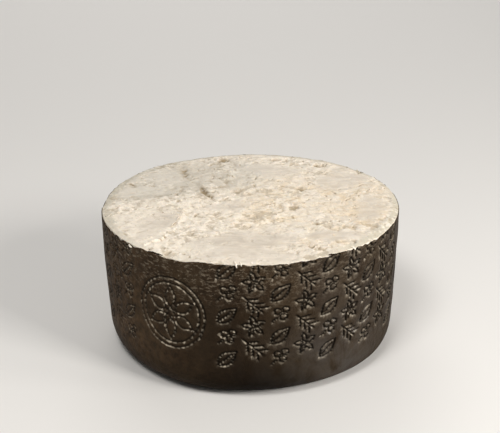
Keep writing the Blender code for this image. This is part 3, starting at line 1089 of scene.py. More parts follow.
@dataclass
class Paste:
    """The cheese itself: the fine break on a body that fills the rind."""

    wheel: WheelForm
    form: BreakForm
    rings: int = 165
    inset: float = 0.8 * MM
    deep_inset: float = 3.0 * MM
    jitter: float = 0.30
    rim_rows: tuple = (0.7 * MM, 1.5 * MM, 2.6 * MM, 4.0 * MM, 8.0 * MM)
    side_rows: int = 3
    corner_rows: int = 4
    corner_top: float = 36 * MM
    # Centre and reach of the warmer tone and painted warm light.
    warm_middle: tuple = (74 * MM, -24 * MM)
    warm_reach: float = 140 * MM
    # Where the warm place and the painted shade places start to fade, in their reach.
    warm_start: float = 0.3
    back_shade_start: float = 0.4
    # Where painted shade greys the paste, at the back left and behind the ledge: x, y and reach in mm,
    # how far, and how much it keeps behind the ledge.
    back_shade_places: tuple = ((-108, 66, 95, 0.95, 0.75), (-32, 84, 66, 0.78, 0.0))

    def build(self, finish: Material) -> Object:
        """Build the paste.

        Args:
            finish: Its material.

        Returns:
            The finished piece.
        """
        polar, triangles = ring_disc(self.rings)
        reach = self.wheel.radius - self.inset
        cell = reach / self.rings
        x = polar[:, 0] * reach * np.cos(polar[:, 1])
        y = polar[:, 0] * reach * np.sin(polar[:, 1])
        inside = polar[:, 0] < 1.0
        jitter_x = self.jitter * cell * noise_at(x, y, 1.7 * cell, 6.0) * inside
        jitter_y = self.jitter * cell * noise_at(x, y, 1.7 * cell, 7.0) * inside
        x, y = x + jitter_x, y + jitter_y
        relief = self.form.relief(x, y)
        top = np.column_stack((x, y, relief["height"]))
        rim_count = 6 * self.rings
        rim_angle = polar[-rim_count:, 1]
        rim_height = relief["height"][-rim_count:]
        rows = list(self._rows(rim_angle, rim_height))
        vertices = np.concatenate([top, *rows, np.array([[0.0, 0.0, self.deep_inset]])])
        sides = closed_rows(len(rows) + 1, rim_count, len(top) - rim_count)
        mesh = mesh_from("paste", vertices, triangles.tolist() + sides)
        self._masks(mesh, relief, vertices)
        return dressed_piece(mesh, finish, "paste")

    def _rows(self, angle: Points, rim_height: Points) -> Iterator[Points]:
        """Rows of points from the rim down the side and round the corner to the foot."""
        for drop in self.rim_rows:
            share = smooth_step(0.0, self.rim_rows[-1], np.array(drop))
            inset = self.inset + (self.deep_inset - self.inset) * share
            yield self.wheel.place(angle, rim_height - drop, -inset)
        lowest = rim_height - self.rim_rows[-1]
        for row in range(1, self.side_rows + 1):
            height = lowest + (self.corner_top - lowest) * row / self.side_rows
            yield self.wheel.place(angle, height, -self.deep_inset)
        rows = list(self.wheel.corner(angle, self.corner_top, self.corner_rows, self.deep_inset))
        yield from rows[1:]

    def _masks(self, mesh: Mesh, relief: dict[str, Points], vertices: Points) -> None:
        """Keep the masks that the material reads."""
        count = len(relief["height"])
        for name in ("scraped", "ashen", "hollow", "crease", "ridge", "rim", "greyed", "loose"):
            values = np.zeros(len(vertices))
            values[:count] = np.clip(relief[name], 0.0, 1.0)
            store(mesh, name, values)
        # Warmer tone and painted warm light, fading away from the front right.
        away = np.hypot(vertices[:, 0] - self.warm_middle[0], vertices[:, 1] - self.warm_middle[1])
        cool = smooth_step(self.warm_start * self.warm_reach, self.warm_reach, away)
        store(mesh, "warmth", 1.0 - cool)
        # Painted shade at the back left and behind the ledge.
        painted_back_shade, behind = np.zeros(len(vertices)), np.zeros(len(vertices))
        behind[:count] = relief["behind"]
        for middle_x, middle_y, reach, share, bound in self.back_shade_places:
            away = np.hypot(vertices[:, 0] - middle_x * MM, vertices[:, 1] - middle_y * MM)
            share = share * (1.0 - bound * (1.0 - behind))
            fade = smooth_step(self.back_shade_start * reach * MM, reach * MM, away)
            painted_back_shade = np.maximum(painted_back_shade, share * (1.0 - fade))
        store(mesh, "dryness", painted_back_shade)


# ------------ the rind


class Motif(Enum):
    """The small motifs between the medallions."""

    LEAF = "leaf"
    EAR = "ear"
    BERRIES = "berries"
    BLOSSOM = "blossom"


def arc(radius: float, start: float = 0.0, end: float = math.tau, points: int = 48,
        middle: tuple[float, float] = (0.0, 0.0)) -> Points:
    """Points along an arc."""
    angles = np.linspace(start, end, points)
    return np.column_stack((middle[0] + radius * np.cos(angles), middle[1] + radius * np.sin(angles)))


def turned(stroke: Points, angle: float, shift: Sequence[float] = (0.0, 0.0)) -> Points:
    """Turn a stroke and move it."""
    cos, sin = math.cos(angle), math.sin(angle)
    return stroke @ np.array(((cos, sin), (-sin, cos))) + np.array(shift)


def blade(length: float, half_width: float, side: float) -> Points:
    """One edge of a leaf that lies along the first axis."""
    share = np.linspace(0.0, 1.0, 24)
    bulge = np.sin(math.pi * share ** 0.85)
    return np.column_stack(((share - 0.5) * length, side * half_width * bulge))


@dataclass
class Ornament:
    """Ornament pricked into the rind, drawn on the unrolled side in metres."""

    medallions: int = 3
    first_medallion: float = math.radians(240)
    medallion_height: float = 84 * MM
    medallion_room: float = 88 * MM
    rings: tuple = (36 * MM, 30.5 * MM, 4.0 * MM)
    petals: int = 6
    petal_length: float = 21 * MM
    petal_half_width: float = 5.6 * MM
    petal_middle: float = 16.5 * MM
    leaf_columns: int = 9
    leaf_row_pitch: float = 22.5 * MM
    first_leaf_height: float = 45 * MM
    leaf_lean: float = math.radians(42)
    leaf_length: float = 23.0 * MM
    leaf_half_width: float = 6.0 * MM
    berry: float = 3.3 * MM
    berry_reach: float = 4.4 * MM
    blossom_petals: int = 5
    blossom_half_width: float = 2.4 * MM
    pitch: float = 3.3 * MM
    prick_length: float = 0.8 * MM
    medallion_pitch: float = 5.3 * MM
    medallion_prick_length: float = 1.1 * MM
    wobble: float = 0.65 * MM
    wobble_size: float = 2.0 * MM
    closed_gap: float = 0.1 * MM
    way_step: float = 0.3 * MM

    def medallion(self) -> Iterator[Points]:
        """Strokes of one medallion round its middle."""
        for radius in self.rings:
            yield arc(radius, points=96)
        for petal in range(self.petals):
            turn = math.tau * (petal + 0.5) / self.petals
            shift = (self.petal_middle * math.cos(turn), self.petal_middle * math.sin(turn))
            for side in (1.0, -1.0):
                yield turned(blade(self.petal_length, self.petal_half_width, side), turn, shift)

    def motif(self, kind: Motif) -> Iterator[Points]:
        """Strokes of one small motif that lies along the first axis."""
        half = self.leaf_length / 2
        if kind is Motif.LEAF:
            for side in (1.0, -1.0):
                yield blade(self.leaf_length, self.leaf_half_width, side)
            vein = 0.5 * half
            yield np.array(((-half, 0.0), (vein, 0.0)))
        elif kind is Motif.EAR:
            stem, first, pitch, grains = 0.9, -0.55, 0.56, 3
            near, length, far = 1.9 * MM, 4.4 * MM, 6.4 * MM
            yield np.array(((-half, 0.0), (stem * half, 0.0)))
            for step in range(grains):
                foot = first * half + step * pitch * half
                for side in (1.0, -1.0):
                    yield np.array(((foot, side * near), (foot + length, side * far)))
        elif kind is Motif.BERRIES:
            shift, start, end = 0.2, -0.9, -0.45
            for turn in np.arange(3) * math.tau / 3:
                middle = (self.berry_reach * math.cos(turn) + shift * half,
                          self.berry_reach * math.sin(turn))
                yield arc(self.berry, middle=middle, points=16)
            yield np.array(((start * half, 0.0), (end * half, 0.0)))
        else:
            out, length = 0.55, 0.8
            for turn in np.arange(self.blossom_petals) * math.tau / self.blossom_petals:
                shift = (out * half * math.cos(turn), out * half * math.sin(turn))
                for side in (1.0, -1.0):
                    yield turned(blade(length * half, self.blossom_half_width, side), turn, shift)

    def strokes(self, wheel: WheelForm) -> Iterator[tuple[Points, bool]]:
        """All strokes on the unrolled side, and whether they belong to a medallion."""
        kinds = list(Motif)
        room = math.tau * wheel.radius / self.medallions
        column_pitch = (room - self.medallion_room) / self.leaf_columns
        for repeat in range(self.medallions):
            middle = self.first_medallion * wheel.radius + room * repeat
            for stroke in self.medallion():
                yield stroke + (middle, self.medallion_height), True
            for column in range(self.leaf_columns):
                across = middle + self.medallion_room / 2 + column_pitch * (column + 0.5)
                odd = column % 2
                height = self.first_leaf_height + self.leaf_row_pitch / 2 * odd
                row = 0
                while height < wheel.cut_height + self.leaf_half_width:
                    kind = kinds[(column + 2 * row + repeat) % len(kinds)]
                    for stroke in self.motif(kind):
                        yield turned(stroke, self.leaf_lean * (1 - 2 * odd), (across, height)), False
                    height += self.leaf_row_pitch
                    row += 1

    def pricks(self, stroke: Points, pitch: float) -> tuple[Points, Points]:
        """Places of the pricks along a stroke, and the way the stroke runs there."""
        steps = np.diff(stroke, axis=0)
        lengths = np.hypot(steps[:, 0], steps[:, 1])
        run = np.concatenate(((0.0,), np.cumsum(lengths)))
        closed = np.hypot(*(stroke[0] - stroke[-1])) < self.closed_gap
        count = max(2, round(run[-1] / pitch) + (0 if closed else 1))
        at = np.linspace(0.0, run[-1], count + 1)[:-1] if closed else np.linspace(0.0, run[-1], count)
        places = np.column_stack([np.interp(at, run, stroke[:, axis]) for axis in (0, 1)])
        ahead = np.minimum(at + self.way_step, run[-1])
        back = np.maximum(at - self.way_step, 0.0)
        way = np.column_stack([np.interp(ahead, run, stroke[:, axis])
                               - np.interp(back, run, stroke[:, axis]) for axis in (0, 1)])
        way /= np.hypot(way[:, 0], way[:, 1])[:, None]
        sway = self.wobble * noise_at(places[:, 0], places[:, 1], self.wobble_size, 8.0)
        places = places + sway[:, None] * np.column_stack((-way[:, 1], way[:, 0]))
        return places, way


def below_lip(flat: Points, lip: Points) -> Points:
    """How far points lie below the lip, on the unrolled side."""
    return np.interp(flat[:, 0], lip[:, 0], lip[:, 1]) - flat[:, 1]


@dataclass
class Rind:
    """The thin rind: a closed shell round the side and the foot with its ornament."""

    wheel: WheelForm
    form: BreakForm
    ornament: Ornament
    thickness: float = 3.4 * MM
    lip_thickness: float = 1.2 * MM
    lip_reach: float = 7 * MM
    seam: float = math.radians(90)
    band_foot: float = 33 * MM
    lip_columns: int = 900
    foot_columns: int = 314
    corner_rows: int = 12
    base_rings: int = 7
    fill_pitch: float = 3.0 * MM
    clearance: float = 1.7 * MM
    thinning: float = 0.60 * MM
    prick_along: tuple = (-1.0, 0.0, 1.0)
    prick_across: tuple = (-2.1 * MM, -0.95 * MM, 0.0, 0.95 * MM, 2.1 * MM)
    prick_depth: float = 1.25 * MM
    prick_radius: float = 1.0 * MM
    groove_depth: float = 1.1 * MM
    groove_radius: float = 1.9 * MM
    lip_height: float = 0.18 * MM
    # Where strokes are grooves rather than rows of pricks: angle, share and half width.
    grooved: tuple = ((310, 1.0, 32), (60, 0.8, 24), (160, 0.8, 24))
    # Where the painted glints on the pricks are weaker: angle, share and half width.
    dull: tuple = ((203, 0.9, 14), (128, 0.6, 20), (20, 0.5, 16))
    # Where the coating is painted browner and lighter: a browner tone at the front left and round
    # the back, painted light low at the left, and lighter high in the middle; angle, share, half
    # width in degrees, and the heights in mm where that starts and where it is full.
    brown_and_painted_light_arcs: tuple = (
        (208, 0.8, 20, 8, 40), (70, 0.6, 30, 8, 40), (150, 0.4, 22, 8, 40),
        (226, 0.16, 18, 80, 35), (272, 0.24, 18, 75, 125))
    chip: float = 0.55 * MM
    # Where the upper edge of the rind broke away: angle, depth in mm, half width in degrees.
    chips: tuple = (
        (201, 1.8, 1.2), (205, 2.4, 0.7), (209, 1.4, 0.6), (214, 2.0, 1.0), (219, 1.2, 0.5),
        (223, 1.6, 0.7), (309, 1.2, 0.8), (315, 1.0, 0.4), (318, 1.9, 0.6), (324, 1.6, 1.0),
        (262, 0.6, 1.2), (299, 0.9, 0.5), (341, 1.6, 0.9), (15, 1.6, 2.0),
        (40, 1.0, 1.4), (77, 1.8, 1.6), (121, 1.4, 1.2), (150, 1.1, 2.2), (171, 0.8, 1.4),
        (229, -0.9, 2.4))
    sag: float = 0.5 * MM
    sag_size: float = 34 * MM
    sag_heights: tuple = (45 * MM, 125 * MM, 140 * MM)
    # Rows of points: by height inside the shell, by step and drop under the lip.
    inner_rows: tuple = (60 * MM, 90 * MM, 115 * MM, 128 * MM, 134 * MM)
    lip_rows: tuple = ((1, 1.1 * MM), (2, 2.4 * MM))
    lip_bevel: float = 0.25 * MM
    on_lip: float = 0.01 * MM
    border_room: float = 0.5 * MM
    seam_room: float = 1.2 * MM
    weld: float = 0.004 * MM
    # Least depth near the lip, least grooving, and the most that a dull place takes.
    room_least: float = 0.45
    grooved_least: float = 0.12
    dull_most: float = 0.85
    edge_share: float = 0.8
    edge_reach: tuple = (0.3 * MM, 2.5 * MM)
    # Painted shade down the middle front and at the far right, weaker higher up.
    dim_arcs: tuple = ((268, 0.60, 12), (338, 0.44, 16))
    dim_fade: float = 0.6
    dim_heights: tuple = (85 * MM, 135 * MM)
    # Painted shade towards the foot, strongest at the middle front.
    foot_least: float = 0.08
    foot_arcs: tuple = ((273, 1.0, 18),)
    foot_heights: tuple = (3 * MM, 62 * MM)
    # Dust, with some pale flecks painted as glints, and how far below the lip it ends.
    dust_and_glint_least: float = 0.15
    dust_and_glint_arcs: tuple = ((236, 1.0, 38), (75, 0.8, 30), (150, 0.6, 22))
    dust_and_glint_reach: tuple = (12 * MM, 55 * MM)
    # Satin: its least share, its share high up, and where it comes and goes.
    satin_least: float = 0.03
    satin_high: float = 0.25
    satin_arcs: tuple = ((302, 0.86, 14), (62, 0.42, 24), (142, 0.42, 20))
    satin_rise: tuple = (8 * MM, 24 * MM)
    satin_fall: tuple = (38 * MM, 95 * MM)
    # Painted shade (pit) and painted highlight (glint) of the ornament.
    masks: tuple = ("pit", "glint")

    def build(self, finish: Material) -> Object:
        """Build the rind.

        Args:
            finish: Its material.

        Returns:
            The finished piece.
        """
        lip, lip_inner = self._lip()
        foot = self._edge(self.band_foot)
        outer, outer_faces, masks = self._pressed_band(lip, foot, finish)
        shape = bmesh.new()
        layers = [shape.verts.layers.float.new(name) for name in self.masks]
        self._add(shape, self._wrap(outer, outer[:, 2]), outer_faces, masks, layers)
        middle = np.concatenate([self._edge(height)[1:-1] for height in self.inner_rows])
        inner, inner_faces = self._band(lip_inner, foot, middle)
        wall = self._wrap(inner, -self._thickness_at(inner, lip))
        self._add(shape, wall, inner_faces, None, layers)
        self._close_lip(shape, lip, lip_inner, outer, layers)
        for depth in (0.0, self.thickness):
            self._add_foot(shape, depth, layers)
        bmesh.ops.remove_doubles(shape, verts=shape.verts[:], dist=self.weld)
        bmesh.ops.recalc_face_normals(shape, faces=shape.faces[:])
        mesh = mesh_of("rind", shape)
        self._masks(mesh)
        return dressed_piece(mesh, finish, "rind")

    def lip_height_at(self, angle: Points) -> Points:
        """Height of the rind's ragged upper edge."""
        x = self.wheel.radius * np.cos(angle)
        y = self.wheel.radius * np.sin(angle)
        ragged = self.chip * (0.8 + noise_at(x, y, 2.2 * MM, 1.0) + 0.6 * noise_at(x, y, 7 * MM, 2.0))
        return self.form.relief(x, y)["height"] - np.maximum(ragged, 0.0) - bell(angle, self.chips)

    def _lip(self) -> tuple[Points, Points]:
        """The ragged upper edge outside and inside, on the unrolled side."""
        share = np.linspace(0.0, 1.0, self.lip_columns + 1)
        angle = self.seam + share * math.tau
        height = self.lip_height_at(angle)
        height[-1] = height[0]
        along = share * math.tau * self.wheel.radius
        inner = np.column_stack((along, height - self.lip_bevel))
        return np.column_stack((along, height)), inner

    def _thickness_at(self, flat: Points, lip: Points) -> Points:
        """How thick the rind is: thin at its upper edge, full further down."""
        share = smooth_step(0.0, self.lip_reach, below_lip(flat, lip))
        return self.lip_thickness + (self.thickness - self.lip_thickness) * share

    def _edge(self, height: float) -> Points:
        """A level row of points on the unrolled side."""
        along = np.linspace(0.0, math.tau * self.wheel.radius, self.foot_columns + 1)
        return np.column_stack((along, np.full_like(along, height)))

    def _strokes(self) -> tuple[Points, Points, list[Points]]:
        """Pricks, the ways and half lengths they run, and the strokes, counted from the seam."""
        round_length = math.tau * self.wheel.radius
        ornament = self.ornament
        places, ways, lines = [], [], []
        for stroke, in_medallion in ornament.strokes(self.wheel):
            stroke = stroke - (self.seam * self.wheel.radius, 0.0)
            shift = math.floor(stroke[:, 0].mean() / round_length) * round_length
            stroke = stroke - (shift, 0.0)
            spots, way = ornament.pricks(stroke, ornament.medallion_pitch if in_medallion
                                         else ornament.pitch)
            places.append(spots)
            ways.append(way * (ornament.medallion_prick_length if in_medallion
                               else ornament.prick_length) / 2)
            lines.append(spots)
        return np.concatenate(places), np.concatenate(ways), lines

    def _fill(self, lip: Points, places: Points, ways: Points) -> Points:
        """Points inside the band: dense on the strokes, sparse between them."""
        round_length = math.tau * self.wheel.radius
        half = np.hypot(ways[:, 0], ways[:, 1])[:, None]
        ways = ways / half
        normals = np.column_stack((-ways[:, 1], ways[:, 0]))
        dense = [places + along * (half + 0.5 * self.prick_radius) * ways + across * normals
                 for across in sorted(self.prick_across, key=abs)
                 for along in sorted(self.prick_along, key=abs)]
        sparse = []
        row_pitch = self.fill_pitch * math.sqrt(3.0) / 2.0
        rows = int((lip[:, 1].max() - self.band_foot) / row_pitch) + 1
        for row in range(1, rows):
            steps = np.arange(0.5 + 0.5 * (row % 2), round_length / self.fill_pitch - 0.25)
            height = np.full_like(steps, self.band_foot + row * row_pitch)
            sparse.append(np.column_stack((steps * self.fill_pitch, height)))
        near_lip = [np.column_stack((lip[1:-1:skip, 0], lip[1:-1:skip, 1] - drop))
                    for skip, drop in self.lip_rows]
        seam_rows = np.arange(self.band_foot, lip[0, 1], self.fill_pitch)[1:]
        seam = [np.column_stack((np.full_like(seam_rows, edge), seam_rows))
                for edge in (0.0, round_length)]
        kept = self._thinned(seam + near_lip + dense, sparse, round_length)
        room = self.border_room
        inside = (below_lip(kept, lip) > room) & (kept[:, 1] > self.band_foot + room)
        return kept[inside]

    def _thinned(self, dense: list[Points], sparse: list[Points], length: float) -> Points:
        """Drop points that lie too near to earlier ones."""
        cell = self.thinning
        taken: dict[tuple[int, int], list[tuple[float, float]]] = {}
        kept: list[tuple[float, float]] = []

        def keep(points: Points, room: float, reach: int) -> None:
            """Keep the points that have room around them."""
            for x, y in points.tolist():
                column, row = int(x / cell), int(y / cell)
                near = (other for dx in range(-reach, reach + 1) for dy in range(-reach, reach + 1)
                        for other in taken.get((column + dx, row + dy), ()))
                if all((x - a) ** 2 + (y - b) ** 2 > room * room for a, b in near):
                    taken.setdefault((column, row), []).append((x, y))
                    kept.append((x, y))

        def clear(points: Points) -> Points:
            """Which points lie clear of the seam."""
            return (points[:, 0] > self.seam_room) & (points[:, 0] < length - self.seam_room)

        for points in dense:
            on_seam = (points[:, 0] == 0.0) | (points[:, 0] == length)
            keep(points[on_seam | clear(points)], cell, 1)
        reach = int(self.clearance / cell) + 1
        for points in sparse:
            keep(points[clear(points)], self.clearance, reach)
        return np.array(kept)

    def _band(self, top: Points, foot: Points, inside: Points) -> tuple[Points, list]:
        """Triangles between an upper and a lower row on the unrolled side.

        Args:
            top: The upper row from the seam to the seam.
            foot: The lower row, likewise.
            inside: Points between them.

        Returns:
            The points and the triangles.
        """
        border = np.concatenate((foot, top[::-1]))
        points = np.concatenate((border, inside)) / MM
        made = delaunay_2d_cdt([Vector(point) for point in points.tolist()], [],
                               [list(range(len(border)))], 1, 1e-6)
        return np.array([tuple(vertex) for vertex in made[0]]) * MM, made[2]

    def _pressed_band(self, lip: Points, foot: Points,
                      finish: Material) -> tuple[Points, list, Points]:
        """The outer band with the ornament pressed into it, still unrolled."""
        places, ways, lines = self._strokes()
        points, faces = self._band(lip, foot, self._fill(lip, places, ways))
        mesh = mesh_from("band", np.column_stack((points, np.zeros(len(points)))), faces)
        room = smooth_step(0.0, self.lip_reach, below_lip(points, lip))
        store(mesh, "room", self.room_least + (1.0 - self.room_least) * room)
        angle = self.seam + points[:, 0] / self.wheel.radius
        grooved = np.clip(share_round(angle, self.grooved), 0.0, 1.0)
        store(mesh, "grooved", self.grooved_least + (1.0 - self.grooved_least) * grooved)
        store(mesh, "bright", 1.0 - np.clip(share_round(angle, self.dull), 0.0, self.dull_most))
        band = new_object("band", mesh)
        guide = self._guide(places, ways, lines)
        run_tree(band, Press().tree(), {
            "Strokes": guide, "Prick Depth": self.prick_depth, "Prick Radius": self.prick_radius,
            "Groove Depth": self.groove_depth, "Groove Radius": self.groove_radius,
            "Lip Height": self.lip_height, "Finish": finish})
        mesh = band.data
        count = len(mesh.vertices)
        masks = np.empty((2, count), np.float32)
        for row, name in zip(masks, self.masks):
            mesh.attributes[name].data.foreach_get("value", row)
        result = np.empty(3 * count, np.float32)
        mesh.vertices.foreach_get("co", result)
        faces = [tuple(face.vertices) for face in mesh.polygons]
        for helper in (band, guide):
            data = helper.data
            bpy.data.objects.remove(helper)
            bpy.data.meshes.remove(data)
        flat = result.reshape(-1, 3).astype(float)
        flat[:, :2] = np.array([tuple(point) for point in points])
        return flat, faces, masks.astype(float).T

    def _guide(self, places: Points, ways: Points, lines: list[Points]) -> Object:
        """Short edges where the pricks are and edges along the strokes, on the unrolled side."""
        ends = np.concatenate((places - ways, places + ways))
        edges = [(index, index + len(places)) for index in range(len(places))]
        marks = [True] * len(edges)
        vertices = ends.tolist()
        for line in lines:
            start = len(vertices)
            vertices += line.tolist()
            edges += [(start + index, start + index + 1) for index in range(len(line) - 1)]
            marks += [False] * (len(line) - 1)
        mesh = bpy.data.meshes.new("guide")
        mesh.from_pydata([(x, y, 0.0) for x, y in vertices], edges, [])
        layer = mesh.attributes.new("prick", "BOOLEAN", "EDGE")
        layer.data.foreach_set("value", marks)
        return new_object("guide", mesh)

    def _wrap(self, flat: Points, outward: Points) -> Points:
        """Roll the unrolled side round the wheel."""
        angle = self.seam + flat[:, 0] / self.wheel.radius
        x, y = self.wheel.radius * np.cos(angle), self.wheel.radius * np.sin(angle)
        low, *high = self.sag_heights
        fade = smooth_step(self.band_foot, low, flat[:, 1]) * fall(*high, flat[:, 1])
        sag = self.sag * noise_at(x + flat[:, 1], y - flat[:, 1], self.sag_size, 1.0) * fade
        return self.wheel.place(angle, flat[:, 1], outward + sag)

    def _add(self, shape: BMesh, vertices: Points, faces: list,
             masks: Points | None, layers: Sequence[Any]) -> None:
        """Add vertices and faces to the shell."""
        made = [shape.verts.new(vertex) for vertex in vertices.tolist()]
        if masks is not None:
            for vertex, values in zip(made, masks.tolist()):
                for layer, value in zip(layers, values):
                    vertex[layer] = value
        for face in faces:
            shape.faces.new([made[index] for index in face])

    def _close_lip(self, shape: BMesh, lip: Points, lip_inner: Points,
                   outer: Points, layers: Sequence[Any]) -> None:
        """Join the outer and the inner upper edge."""
        order = np.flatnonzero(np.abs(below_lip(outer, lip)) < self.on_lip).tolist()
        order.sort(key=lambda index: outer[index, 0])
        outside = self._wrap(outer[order], outer[order, 2])
        inside = self._wrap(lip_inner, -self._thickness_at(lip_inner, lip))
        count = len(lip)
        faces = [(step, step + 1, count + step + 1, count + step) for step in range(count - 1)]
        self._add(shape, np.concatenate((outside, inside)), faces, None, layers)

    def _add_foot(self, shape: BMesh, depth: float, layers: Sequence[Any]) -> None:
        """Add the corner and the foot, outside or one thickness inside."""
        angle = self.seam + np.linspace(0.0, math.tau, self.foot_columns + 1)[:-1]
        rows = list(self.wheel.corner(angle, self.band_foot, self.corner_rows, depth))
        for ring in range(1, self.base_rings):
            shrunk = rows[self.corner_rows].copy()
            shrunk[:, :2] *= 1.0 - ring / self.base_rings
            rows.append(shrunk)
        vertices = np.concatenate([*rows, np.array([[0.0, 0.0, depth]])])
        self._add(shape, vertices, closed_rows(len(rows), self.foot_columns), None, layers)

    def _masks(self, mesh: Mesh) -> None:
        """Keep the masks that the material reads."""
        flat = np.empty(3 * len(mesh.vertices), np.float32)
        mesh.vertices.foreach_get("co", flat)
        places = flat.reshape(-1, 3).astype(float)
        height = places[:, 2]
        angle = np.arctan2(places[:, 1], places[:, 0])
        below = self.form.relief(self.wheel.radius * np.cos(angle),
                                 self.wheel.radius * np.sin(angle))["height"] - height
        around = partial(share_round, angle)
        store(mesh, "edge", self.edge_share * fall(*self.edge_reach, below))
        # Painted shade in bands down the middle front and at the far right.
        dim = np.clip(around(self.dim_arcs), 0.0, 1.0)
        store(mesh, "dim", dim * (1.0 - self.dim_fade * smooth_step(*self.dim_heights, height)))
        # Painted shade towards the foot.
        foot = np.clip(around(self.foot_arcs), 0.0, 1.0)
        foot = self.foot_least + (1.0 - self.foot_least) * foot
        store(mesh, "foot", foot * fall(*self.foot_heights, height))
        # Browner tone, and painted light low at the left.
        faded = sum(around((arc_of,)) * smooth_step(none * MM, full * MM, height)
                    for *arc_of, none, full in self.brown_and_painted_light_arcs)
        store(mesh, "veil", np.clip(faded, 0.0, 1.0))
        # Dust, with pale flecks painted as glints, near the lip.
        dusty = np.clip(self.dust_and_glint_least + around(self.dust_and_glint_arcs), 0.0, 1.0)
        store(mesh, "dusty", fall(*self.dust_and_glint_reach, below) * dusty)
        low = smooth_step(*self.satin_rise, height) * fall(*self.satin_fall, height)
        share = self.satin_high + (1.0 - self.satin_high) * low
        satin = self.satin_least + around(self.satin_arcs) * share
        store(mesh, "satin", np.clip(satin, 0.0, 1.0))


@dataclass(frozen=True)
class Press:
    """Presses pricks and grooves into a flat band, and marks their lit and shaded walls."""

    # Wear of the ornament, unevenness of its pricks and spots of their glint: the noise's scale
    # and range, and the shares at its ends.
    wear_scale: float = 22.0
    wear: tuple = (0.34, 0.60, 0.30, 1.15)
    uneven_scale: float = 310.0
    uneven: tuple = (0.3, 0.7, 0.6, 1.25)
    spots: tuple = (0.44, 0.68, 0.10, 1.0)
    # How far the raised lip of a prick reaches, in its radii.
    lip_reach: float = 2.4
    # From less to more grooved rind: its range, and the shares there.
    prick_depth: tuple = (0.2, 1.0, 1.0, 0.35)
    prick_glint: tuple = (0.15, 0.8, 0.95, 0.28)
    prick_shade: tuple = (0.2, 1.0, 1.0, 0.6)
    groove_shade: tuple = (0.0, 0.5, 0.35, 0.95)
    groove_glint: float = 0.36
    # The way to the light, and where along it the shaded and the lit wall start and are full.
    light: tuple = (0.40, 0.92, 0.0)
    shaded_wall: tuple = (-0.6 * MM, 0.1 * MM)
    lit_wall: tuple = (-0.3 * MM, -0.85 * MM)
    # How far the walls of a prick and a groove reach, and where both fade in those reaches.
    prick_reach: float = 0.85 * MM
    groove_reach: float = 1.3 * MM
    shaded_fade: tuple = (0.7, 1.8)
    lit_fade: tuple = (1.0, 2.0)

    def _walls(self, wiring: Wiring, here: Any, found: Any, reach: float) -> tuple[Any, Any]:
        """Masks of the wall turned from the light and of the lip turned to it."""
        away = wiring.node("ShaderNodeVectorMath", {0: here, 1: found.outputs["Position"]},
                           operation="SUBTRACT")
        side = wiring.node("ShaderNodeVectorMath", {0: away.outputs[0], 1: self.light},
                           operation="DOT_PRODUCT").outputs["Value"]
        shaded, lit = (
            wiring.times(wiring.remap(side, *wall, smooth=True),
                         wiring.remap(found.outputs["Distance"], near * reach, far * reach,
                                      1.0, 0.0, smooth=True))
            for wall, (near, far) in ((self.shaded_wall, self.shaded_fade),
                                      (self.lit_wall, self.lit_fade)))
        return shaded, lit

    def tree(self) -> NodeTree:
        """Build the tree that presses the ornament.

        Returns:
            The geometry tree.
        """
        wiring, source, target = new_group(
            "press_ornament", "GeometryNodeTree",
            {"Geometry": "Geometry", "Strokes": "Object", "Prick Depth": "Float",
             "Prick Radius": "Float", "Groove Depth": "Float", "Groove Radius": "Float",
             "Lip Height": "Float", "Finish": "Material"},
            {"Geometry": "Geometry"})
        value, times, remap = source.outputs, wiring.times, wiring.remap
        guide = wiring.node("GeometryNodeObjectInfo", {"Object": value["Strokes"]})
        mark = wiring.node("GeometryNodeInputNamedAttribute", {"Name": "prick"}, data_type="BOOLEAN")
        parts = wiring.node("GeometryNodeSeparateGeometry",
                            {"Geometry": guide.outputs["Geometry"], "Selection": mark.outputs[0]},
                            domain="EDGE")
        prick, groove = (wiring.node("GeometryNodeProximity", {0: part}, target_element="EDGES")
                         for part in (parts.outputs[0], parts.outputs[1]))
        grooved = wiring.field("grooved")
        worn, uneven = (wiring.node("ShaderNodeTexNoise", {"Scale": scale, "Detail": 1.0}).outputs[0]
                        for scale in (self.wear_scale, self.uneven_scale))
        radius, apart = value["Prick Radius"], prick.outputs["Distance"]
        pit = remap(apart, 0.0, radius, 1.0, 0.0, smooth=True)
        line = remap(groove.outputs["Distance"], 0.0, value["Groove Radius"], 1.0, 0.0, smooth=True)
        rise = remap(apart, radius, times(radius, self.lip_reach), 1.0, 0.0, smooth=True)
        rise = wiring.sum("MAXIMUM", wiring.sum("SUBTRACT", rise, pit), 0.0)
        pit_depth = times(times(pit, value["Prick Depth"]), remap(uneven, *self.uneven))
        pit_depth = times(pit_depth, remap(grooved, *self.prick_depth))
        line_depth = times(times(line, value["Groove Depth"]), grooved)
        depth = wiring.sum("ADD", pit_depth, line_depth)
        depth = wiring.sum("SUBTRACT", depth, times(rise, value["Lip Height"]))
        depth = times(times(depth, remap(worn, *self.wear)), wiring.field("room"))
        offset = wiring.node("ShaderNodeCombineXYZ", {"Z": times(depth, -1.0)})
        moved = wiring.node("GeometryNodeSetPosition",
                            {"Geometry": value["Geometry"], "Offset": offset.outputs[0]})
        here = wiring.node("GeometryNodeInputPosition").outputs[0]
        prick_shade, prick_light = self._walls(wiring, here, prick, self.prick_reach)
        groove_shade, groove_light = self._walls(wiring, here, groove, self.groove_reach)
        # Painted highlight on the lips turned to the light, and painted shade on the walls turned from
        # it.
        shine = times(prick_light, remap(grooved, *self.prick_glint))
        sheen = times(groove_light, times(grooved, self.groove_glint))
        shine = times(wiring.sum("MAXIMUM", shine, sheen),
                      times(remap(uneven, *self.spots), wiring.field("bright")))
        shade = wiring.sum("MAXIMUM", times(prick_shade, remap(grooved, *self.prick_shade)),
                           times(groove_shade, remap(grooved, *self.groove_shade)))
